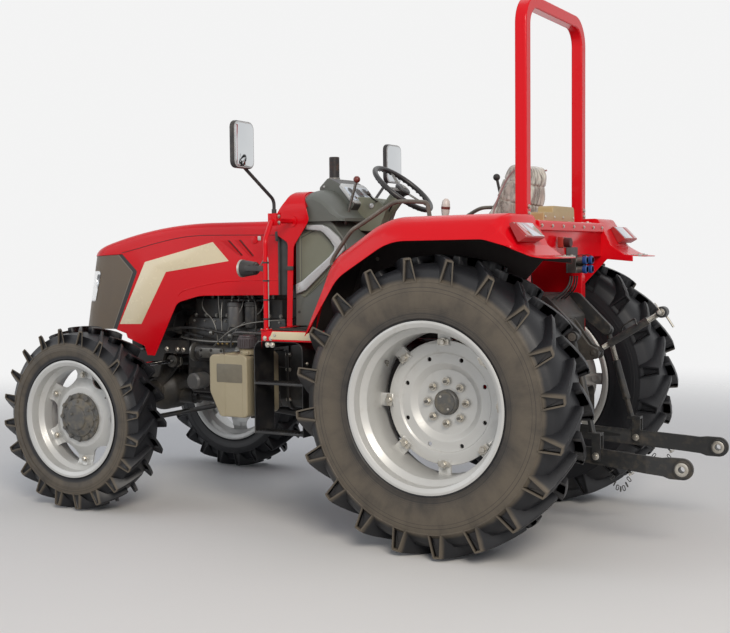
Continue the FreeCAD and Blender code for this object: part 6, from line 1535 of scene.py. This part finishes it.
for y, half in ((210, 38), (-150, 34), (-230, 34)):
    for row in range(6):
        share = row / 5
        spot_x, spot_z = 621.5 + 44 * share, 1112 + 56 * share
        plate(levers, [at(spot_x - 3, y - half + 4, spot_z - 4), at(spot_x + 2, y - half + 4, spot_z + 3),
                       at(spot_x + 2, y + half - 4, spot_z + 3), at(spot_x - 3, y + half - 4, spot_z - 4)],
              (-0.0035, 0, 0.003), 0, 0.0008, 0)
# Painted shade: a dark strip stands for the quadrant's slot.
plate(levers, [at(95, -381, 1571.5), at(215, -381, 1571.5), at(215, -389, 1571.5), at(95, -389, 1571.5)], (0, 0, 0.001), 0, 0, 1)
for x in (90, 220):
    bolt(levers, at(x, -384.5, 1465), (0, 1, 0), 0.007, 2)
# a lever beside the seat, still in its film, with a pale grip
pipe(levers, [at(318, 30, 1500), at(312, 30, 1560), at(304, 32, 1640), at(300, 33, 1660)], 0.007, 2)
turned(levers, [(0, -0.05), (0.016, -0.046), (0.022, -0.02), (0.024, 0.012), (0.02, 0.04), (0.01, 0.052), (0, 0.054)],
       at(300, 33, 1664), (-0.1, 0.05, 1), 24, 3)
turned(levers, [(0.0235, -0.004), (0.0246, 0.004), (0.0235, 0.014), (0.022, 0.014), (0.022, -0.004), (0.0235, -0.004)],
       at(300, 33, 1664), (-0.1, 0.05, 1), 24, 4)
piece("control_details", levers, "chassis", "black_plastic", hose_black, dark_red_and_gap_shade, zinc, wrapped_white, knob_red)

# Rear services: a block of quick couplers with blue caps, pipes up from the lift housing, and
# a red plug socket. Rigid lines are bent steel tube.

cap_blue = finish("cap_blue", lambda term, place: {
    "Base Color": place.noise(40, 3).blend((0.012, 0.05, 0.2), (0.02, 0.08, 0.28)),
    "Roughness": place.noise(60, 3) * 0.2 + 0.3})
finished("remote_couplers", "chassis", "steel_rod", casting, bare_metal, edge=0.0015, zones=[lambda c: c.x < -1.288])
lines = bmesh.new()
for y, z in ((42, 1338), (-42, 1338), (42, 1384), (-42, 1384)):
    turned(lines, [(0, 0), (0.0185, 0), (0.0205, 0.004), (0.0205, 0.018), (0.017, 0.022), (0, 0.022)],
           at(-470, y, z), (-1, 0, 0), 28, 0)
    pipe(lines, [at(-486, y, z + 18), at(-480, y, z + 26), at(-450, y, z + 27), at(-436, y, z + 20)], 0.0022, 3)
for y in (52, 20, -20, -52):
    pipe(lines, [at(-405, y, 1304), at(-405, y, 1270), at(-380, y * 1.4, 1225), at(-330, y * 1.8, 1190),
                 at(-270, y * 2, 1150), at(-240, y * 2, 1110)], 0.0042, 3)
plate(lines, [at(-404, 180, 1446), at(-404, 232, 1446), at(-404, 232, 1500), at(-404, 180, 1500)], (-0.03, 0, 0), 0.008, 0.002, 1)
turned(lines, [(0, 0), (0.023, 0), (0.024, 0.004), (0.024, 0.03), (0.02, 0.033), (0, 0.033)], at(-434, 206, 1472), (-1, 0, 0), 28, 4)
piece("rear_services", lines, "chassis", "black_plastic", cap_blue, signal_red, bare_metal, hose_black, dark_red_and_gap_shade)


# The box of the whole is measured and kept.

low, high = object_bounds()
